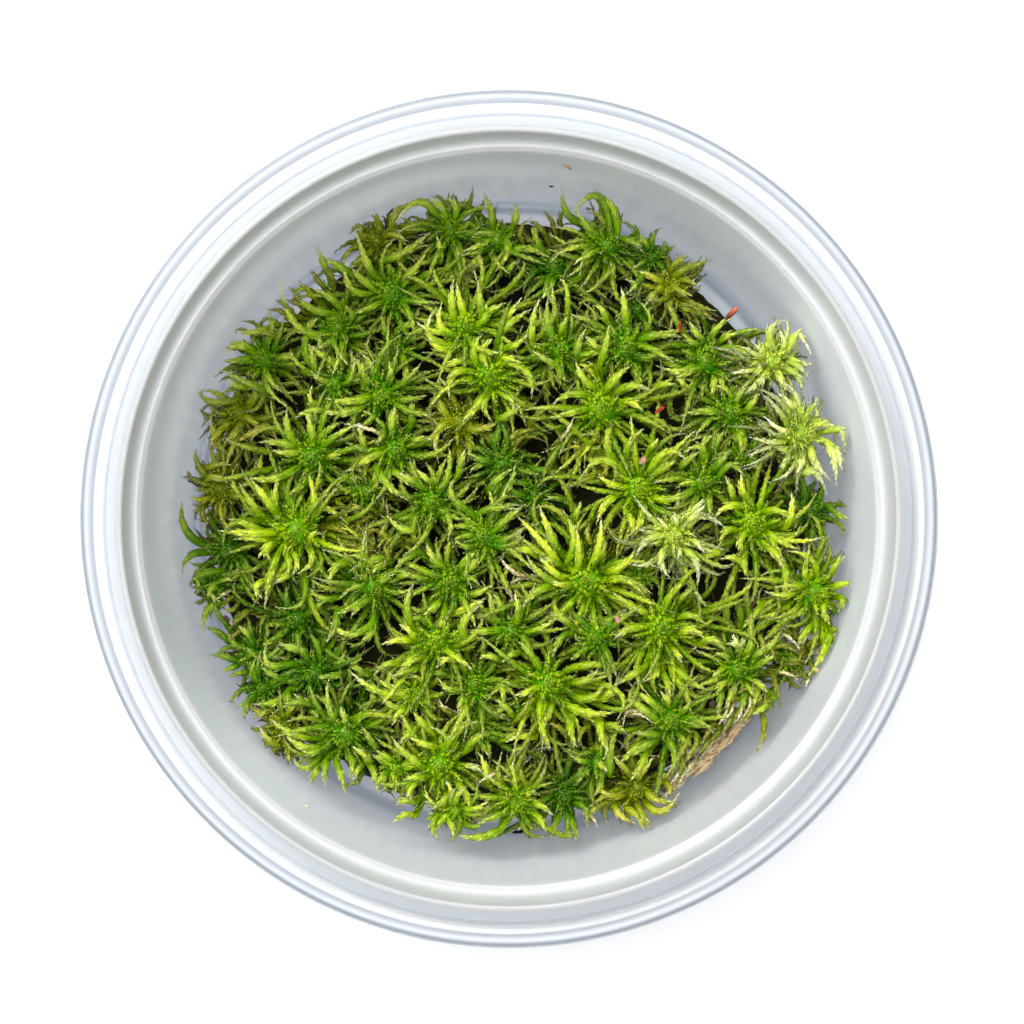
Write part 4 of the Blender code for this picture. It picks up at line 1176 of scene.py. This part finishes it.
def swept(kit, name, lines, leaf, spacing, sides, seed, finish, turn=GOLDEN_TURN, stray=0.0):
    """Lines swept to branches, with a kind of leaf at an even spacing."""
    values = {
        "Leaf": kit.leaves[leaf],
        "Leaf Spacing": spacing,
        "Leaf Turn": turn,
        "Leaf Stray": stray,
        "Branch Sides": sides,
        "Seed": seed,
        "Finish": finish,
    }
    return grow(name, lines, kit.tree, values)


def owner_of(spot, heads):
    """The head that a branch seen in the photograph grows from: the nearest for its reach."""
    return min(heads, key=lambda head: (photo_place(*spot[0:2], head.top) - head.centre).length / head.reach)


def headings(branches, head):
    """The directions in which a head's branches point."""
    tips = [branch.points[-1].xy - head.centre for branch in branches]
    return [math.atan2(tip.y, tip.x) for tip in tips]


def shoot(kit, head, sides, gaps, seen, spots):
    """A shoot: the bud, the head's whorls, the whorls below it, the stem and any side heads."""
    chance = random.Random(head.name)
    finish = kit.finishes[head.kind]
    upper, spreading = HEAD_WHORLS
    outer, bud, lower, domes, tufts, stems = [], [], list(gaps), [], [], []
    for top in [head] + sides:
        tilt = head_tilt(top, chance)
        crown = Vector((*top.centre, top.top))
        whorls = [spreading] + (LOWER_WHORLS if top is head else [])
        if top.centre.length > EDGE_FROM:
            whorls.append(EDGE_WHORL)
        near = [branch for styled in seen[top].values() for branch in styled]
        outer += whorl_branches(upper, top, tilt, chance, crown, headings(near, top))
        for whorl in whorls:
            lower += whorl_branches(whorl, top, tilt, chance, crown)
        bud += bud_branches(top, tilt, chance, crown)
        domes.append(dome(top, tilt, crown))
        tufts.append(tuft(top, tilt, crown))
        stems.append(stem_branch(top, tilt, chance))
    outer = [branch for branch in outer if allowed(branch, spots)]
    lower = [branch for branch in lower if branch.points[0].z > MAT_TOP and allowed(branch, spots)]
    name = head.name + "_leaves"
    seed = chance.randrange(1000)
    grown = []
    for style, look in SEEN_LOOKS.items():
        found = [branch for top in [head] + sides for branch in seen[top][style]]
        if found:
            own = kit.finishes[look.look or head.kind]
            grown.append(leafy(kit, name, found, "long", SEEN_LEAF_SPACING, 6, seed, own))
    grown.append(leafy(kit, name, outer, "long", LEAF_SPACING, 6, seed, finish))
    grown.append(leafy(kit, name, bud, "short", BUD_LEAF_SPACING, 5, seed, finish))
    grown.append(leafy(kit, name, lower + stems, "short", LOWER_LEAF_SPACING, 5, seed, finish))
    grown.append(swept(kit, name, lines_mesh(domes, rounding), "short", 1.0, 10, seed, finish))
    tuft_lines = lines_mesh(tufts, even, TUFT_BLADE, tuft_lean)
    grown.append(
        swept(kit, name, tuft_lines, "bud", TUFT_LEAF_SPACING, 3, seed, finish, stray=TUFT_STRAY)
    )
    return piece_from(name, grown, head.kind + "_shoot", head.name)


def brown_patches():
    """The places of the curled branches in the brown patches, as those of the branches that were seen."""
    chance = random.Random("brown patches")
    found = []
    for x, y, radius, count in BROWN_PATCHES:
        for _ in range(count):
            out, turned = radius * math.sqrt(chance.random()), chance.uniform(0, math.tau)
            root = Vector((x + out * math.cos(turned), y + out * math.sin(turned)))
            heading = chance.uniform(0, math.tau)
            length = chance.uniform(*BROWN_LENGTH_PX)
            run = Vector((math.cos(heading), math.sin(heading))) * length
            bend = Vector((-run.y, run.x)) * chance.uniform(-0.7, 0.7)
            found.append((*root, *(root + run / 2 + bend), *(root + run)))
    return found


def bark_sliver(kit):
    """The sliver of bark: frayed fibres laid along a core that stands against the clump's edge."""
    chance = random.Random("bark sliver")
    edge = [Vector((*photo_place(x, y, BARK_TOP), BARK_TOP)) for x, y in BARK_LINE]
    lines = []
    for sunk in BARK_CORE:
        line = [point - UP * sunk * MM for point in edge[:4]]
        lines.append(Branch(line, 1.0 * MM, 1.1 * MM, 0.15, 0.5, 0.0))
    for _ in range(BARK_FIBRES):
        at = chance.uniform(0, len(edge) - 1.001)
        here = edge[int(at)].lerp(edge[int(at) + 1], at % 1)
        run = (edge[int(at) + 1] - edge[int(at)]).normalized()
        across = Vector((-run.y, run.x, 0))
        sunk = chance.uniform(0, 1) ** 2 * (BARK_TOP - BARK_FOOT) * 0.6
        start = here + across * max(-0.8, min(0.8, chance.gauss(0, 0.42))) * MM - UP * sunk
        heading = math.atan2(run.y, run.x) + chance.gauss(0, 0.20) + math.pi * chance.choice((0, 1))
        rise = chance.uniform(-0.15, 0.25)
        line = arc(start, heading, rise, -0.25, chance.gauss(0, 0.25), chance.uniform(1.5, 3.8) * MM, 5)
        width = chance.uniform(0.20, 0.46) * MM
        line = [kept_inside(point, width) for point in line]
        lines.append(Branch(line, width, 0.8 * MM, 0.25, chance.random(), 0.0))
    finish = litter_finish("tan_bark", *BARK_COLOURS)
    fibres = leafy(kit, "bark_fibres", lines, "short", 0.55 * MM, 5, 3, finish)
    return piece_from("bark_fibres", [fibres], "bark", "bark_sliver")


def smooth_point(before, start, end, after, share):
    """A point between two corners of a smooth line that goes through all its corners."""
    square, cube = share**2, share**3
    return 0.5 * (
        2 * start
        + (end - before) * share
        + (2 * before - 5 * start + 4 * end - after) * square
        + (3 * start - before - 3 * end + after) * cube
    )


def red_stalk():
    """The bare stalk, olive below and red at its rounded tip, as a tube round a smooth line."""
    corners = [Vector((*photo_place(x, y, z * MM), z * MM)) for x, y, z in STALK_LINE]
    last = len(corners) - 1
    line = []
    for number in range(last):
        around = [corners[max(0, min(last, number + step))] for step in (-1, 0, 1, 2)]
        line += [smooth_point(*around, step / 6) for step in range(6)]
    line.append(corners[-1])
    shape = bmesh.new()
    along = shape.verts.layers.float.new("along")
    rings = []
    for number, point in enumerate(line):
        share = number / (len(line) - 1)
        swell = 0.62 + 0.38 * min(1.0, max(0.0, (share - 0.55) * 4))
        radius = STALK_RADIUS * swell * math.sqrt(max(0.0, 1 - max(0.0, (share - 0.86) / 0.14) ** 2))
        run = (line[min(number + 1, len(line) - 1)] - line[max(number - 1, 0)]).normalized()
        side = run.cross(UP).normalized()
        other = run.cross(side)
        ring = []
        for turn in range(STALK_SIDES):
            angle = turn / STALK_SIDES * math.tau
            vertex = shape.verts.new(point + (side * math.cos(angle) + other * math.sin(angle)) * radius)
            vertex[along] = share
            ring.append(vertex)
        rings.append(ring)
    for below, above in zip(rings, rings[1:]):
        for turn in range(STALK_SIDES):
            after = (turn + 1) % STALK_SIDES
            shape.faces.new([below[turn], below[after], above[after], above[turn]])
    shape.faces.new(rings[0])
    bmesh.ops.remove_doubles(shape, verts=shape.verts, dist=0.002 * MM)
    bmesh.ops.recalc_face_normals(shape, faces=shape.faces)
    stalk = finished_mesh("stalk", shape, stalk_finish())
    return piece_from("stalk_with_red_tip", [stalk], "stalk", "red_stalk")


def resting_place(crumb, surfaces):
    """Where a crumb's line of sight first meets the moss or the tub, and which way that faces."""
    aim = Vector((*photo_place(crumb.x, crumb.y, FLANGE_HEIGHT), FLANGE_HEIGHT)) - CAMERA_PLACE
    hits = [surface.ray_cast(CAMERA_PLACE, aim.normalized()) for surface in surfaces]
    hits = [hit for hit in hits if hit[0] is not None]
    return min(hits, key=lambda hit: hit[3])[0:2]


def crumb_mesh(crumb, place, facing, finish, chance):
    """A lumpy flake that curls up at its ends and lies on what carries it."""
    shape = bmesh.new()
    bmesh.ops.create_icosphere(shape, subdivisions=2, radius=1)
    turned = Matrix.Rotation(chance.uniform(0, math.tau), 3, "Z")
    lie = (facing + UP).to_track_quat("Z", "X").to_matrix() @ turned
    half = crumb.length / 2 / PIXELS_PER_METRE
    for vertex in shape.verts:
        lump = 1 + chance.uniform(-0.22, 0.22)
        along, across, up = vertex.co
        flat = up * CRUMB_THICKNESS / crumb.slim + CRUMB_CURL * along**2
        vertex.co = place + lie @ (Vector((along, across / crumb.slim, flat)) * lump * half)
    return finished_mesh(crumb.kind, shape, finish)


def crumbs(built):
    """The crumbs of litter, each on the moss or the tub at its place in the photograph."""
    bpy.context.view_layer.update()
    scene = bpy.context.evaluated_depsgraph_get()
    surfaces = [BVHTree.FromObject(piece, scene) for piece in built]
    chance = random.Random("crumbs")
    finishes = {kind: litter_finish(kind, *colours) for kind, colours in CRUMB_COLOURS.items()}
    meshes = []
    for crumb in CRUMBS:
        place, facing = resting_place(crumb, surfaces)
        meshes.append(crumb_mesh(crumb, place, facing, finishes[crumb.kind], chance))
    return piece_from("litter_crumbs", meshes, "bark")


def old_tangle(kit):
    """The mat: old stems and branches that lie across each other between the tub's floor and the shoots."""
    chance = random.Random("old tangle")
    branches = []
    for number in range(TANGLE_BRANCHES):
        at_edge = number % 2 == 0
        out = chance.uniform(*TANGLE_EDGE) if at_edge else TANGLE_INNER_RADIUS * math.sqrt(chance.random())
        turned = chance.uniform(0, math.tau)
        level = chance.uniform(*TANGLE_EDGE_HEIGHTS) if at_edge else chance.choice(TANGLE_INNER_HEIGHTS)
        level += chance.uniform(-0.6, 0.8)
        start = Vector((out * math.cos(turned), out * math.sin(turned), level)) * MM
        heading = turned + math.pi / 2 * chance.choice((-1, 1)) + chance.gauss(0, 0.5)
        slope = chance.gauss(0, 0.12)
        line = arc(start, heading, slope, -slope, chance.uniform(-0.9, 0.9), chance.uniform(6, 13) * MM, 7)
        width = chance.uniform(0.26, 0.55) * MM
        line = [kept_inside(point, width) for point in line]
        if max(math.hypot(point.x, point.y) for point in line) > TANGLE_RADIUS:
            continue
        leaf = chance.uniform(0.9, 1.3) * MM
        branches.append(Branch(line, width, leaf, 0.1, chance.random(), chance.uniform(0.55, 1)))
    finish = kit.finishes["olive"]
    tangle = leafy(kit, "old_tangle", branches, "short", 0.6 * MM, 5, 11, finish)
    return piece_from("old_tangle", [tangle, peat_core()], "old_stems", "stem_mat")


def peat_core():
    """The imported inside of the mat, a lumpy disc that the stems lie on."""
    shape = bmesh.new()
    bmesh.ops.create_uvsphere(shape, u_segments=96, v_segments=24, radius=1)
    chance = random.Random("peat core")
    for vertex in shape.verts:
        outward = math.hypot(vertex.co.x, vertex.co.y)
        wide = min(1.0, outward * 1.15) * PEAT_RADIUS / max(outward, 0.001)
        height = PEAT_MIDDLE + max(-1.0, min(1.0, vertex.co.z * 1.9)) * PEAT_HALF_HEIGHT
        wide *= 1 - chance.uniform(0, 0.02)
        height += chance.uniform(-0.4, 0.4) * MM
        vertex.co = Vector((vertex.co.x * wide, vertex.co.y * wide, height))
    return finished_mesh("peat_core", shape, peat_and_painted_shade_finish())


def rounded(corners, steps=5):
    """A line through the corners, each rounded by an arc that keeps to its two sides."""
    line = []
    for number, corner in enumerate(corners):
        here = Vector((corner.radius, corner.height))
        if corner.rounding == 0:
            line.append(here)
            continue
        before = Vector(corners[number - 1][:2]) - here
        after = Vector(corners[number + 1][:2]) - here
        bend = before.angle(after) / 2
        back = min(corner.rounding / math.tan(bend), before.length * 0.45, after.length * 0.45)
        start, end = here + before.normalized() * back, here + after.normalized() * back
        for step in range(steps + 1):
            share = step / steps
            line.append((1 - share) ** 2 * start + 2 * share * (1 - share) * here + share**2 * end)
    return line


def offset(line, distance):
    """The line moved to its outer and lower side."""
    moved = []
    for number, point in enumerate(line):
        before = line[max(0, number - 1)]
        after = line[min(len(line) - 1, number + 1)]
        run_in = (point - before).normalized() if point != before else (after - point).normalized()
        run_out = (after - point).normalized() if after != point else run_in
        mean = (run_in + run_out).normalized()
        side = Vector((mean.y, -mean.x))
        moved.append(point + side * distance / max(0.5, math.sqrt((1 + run_in.dot(run_out)) / 2)))
    return moved


def tub():
    """The turned shell with its rounded corners."""
    upper = rounded(TUB_LINE)
    lower = offset(upper, TUB_WALL / MM)
    lower[0].x = 0
    shape = bmesh.new()
    points = [shape.verts.new((place.x * MM, 0, place.y * MM)) for place in upper + lower[::-1]]
    outline = points + [shape.edges.new(pair) for pair in zip(points, points[1:])]
    whole_turn = {"angle": math.tau, "steps": TUB_STEPS, "use_merge": True}
    bmesh.ops.spin(shape, geom=outline, cent=(0, 0, 0), axis=(0, 0, 1), **whole_turn)
    bmesh.ops.remove_doubles(shape, verts=shape.verts, dist=0.001 * MM)
    bmesh.ops.recalc_face_normals(shape, faces=shape.faces)
    shell = finished_mesh("tub_shell", shape, tub_finish())
    return piece_from("tub_shell", [shell], "tub_plastic", "tub")


def stage():
    """The white floor, the soft lights and the camera of the photograph."""
    scene = bpy.context.scene
    material, _, shader = new_finish("white_floor")
    shader.inputs["Base Color"].default_value = (*FLOOR_COLOUR, 1)
    shader.inputs["Emission Color"].default_value = (1, 1, 1, 1)
    shader.inputs["Emission Strength"].default_value = FLOOR_GLOW
    shader.inputs["Roughness"].default_value = 0.9
    shape = bmesh.new()
    bmesh.ops.create_grid(shape, x_segments=1, y_segments=1, size=FLOOR_HALF_SIDE)
    floor = bpy.data.objects.new("floor", finished_mesh("floor", shape, material))
    floor.location.z = -0.05 * MM
    scene.collection.objects.link(floor)

    scene.world = bpy.data.worlds.new("studio")
    scene.world.use_nodes = True
    background = scene.world.node_tree.nodes["Background"]
    background.inputs["Color"].default_value = (*SKY, 1)
    background.inputs["Strength"].default_value = SKY_STRENGTH
    for lamp in LAMPS:
        softbox = bpy.data.lights.new(lamp.name, "AREA")
        softbox.size = lamp.size
        softbox.energy = lamp.power
        light = bpy.data.objects.new(lamp.name, softbox)
        light.location = lamp.place
        light.rotation_euler = Vector(lamp.place).to_track_quat("Z", "Y").to_euler()
        scene.collection.objects.link(light)

    lens = bpy.data.cameras.new("camera")
    lens.sensor_width = SENSOR
    lens.lens = SENSOR * (CAMERA_PLACE.z - FLANGE_HEIGHT) * PIXELS_PER_METRE / PHOTO_SIDE_PX
    lens.clip_start = 10 * MM
    camera = bpy.data.objects.new("camera", lens)
    camera.location = CAMERA_PLACE
    scene.collection.objects.link(camera)
    scene.camera = camera
    scene.view_settings.view_transform = "Standard"


def main():
    leaves = {
        "long": leaf_mesh("long_leaf", [(0.28, 1.07, 0.50, 0.24), (0.66, 1.04, 0.34, 0.16)]),
        "short": leaf_mesh("short_leaf", [(0.40, 1.08, 0.50, 0.22)]),
        "bud": leaf_mesh("bud_leaf", [(0.74, 1.0, 0.50, 0.9)], (0, 0, 0.5), (0.5, 0, 1)),
    }
    finishes = {kind: moss_finish(kind + "_leaves", look) for kind, look in LOOKS.items()}
    kit = Kit(leafy_tree(), leaves, finishes)
    built = [tub(), old_tangle(kit)]
    heads = [head_of(name) for name in sorted(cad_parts) if "_shoot_" in name]
    sides = {head: [side_head(head, spot) for spot in SIDE_HEADS.get(head.name, [])] for head in heads}
    spots = heads + [side for found in sides.values() for side in found]
    gaps = gap_branches(spots, random.Random("gaps"))
    seen = {head: collections.defaultdict(list) for head in spots}
    chance = random.Random("seen branches")
    for style, found in [*SEEN_BRANCHES.items(), ("dull", brown_patches())]:
        for spot in found:
            owner = owner_of(spot, spots)
            seen[owner][style].append(seen_branch(spot, style, owner, chance))
    built += [shoot(kit, head, sides[head], gaps[head.name], seen, spots) for head in heads]
    built += [bark_sliver(kit), red_stalk()]
    crumbs(built)
    for leaf in leaves.values():
        bpy.data.meshes.remove(leaf.data)
    stage()


main()
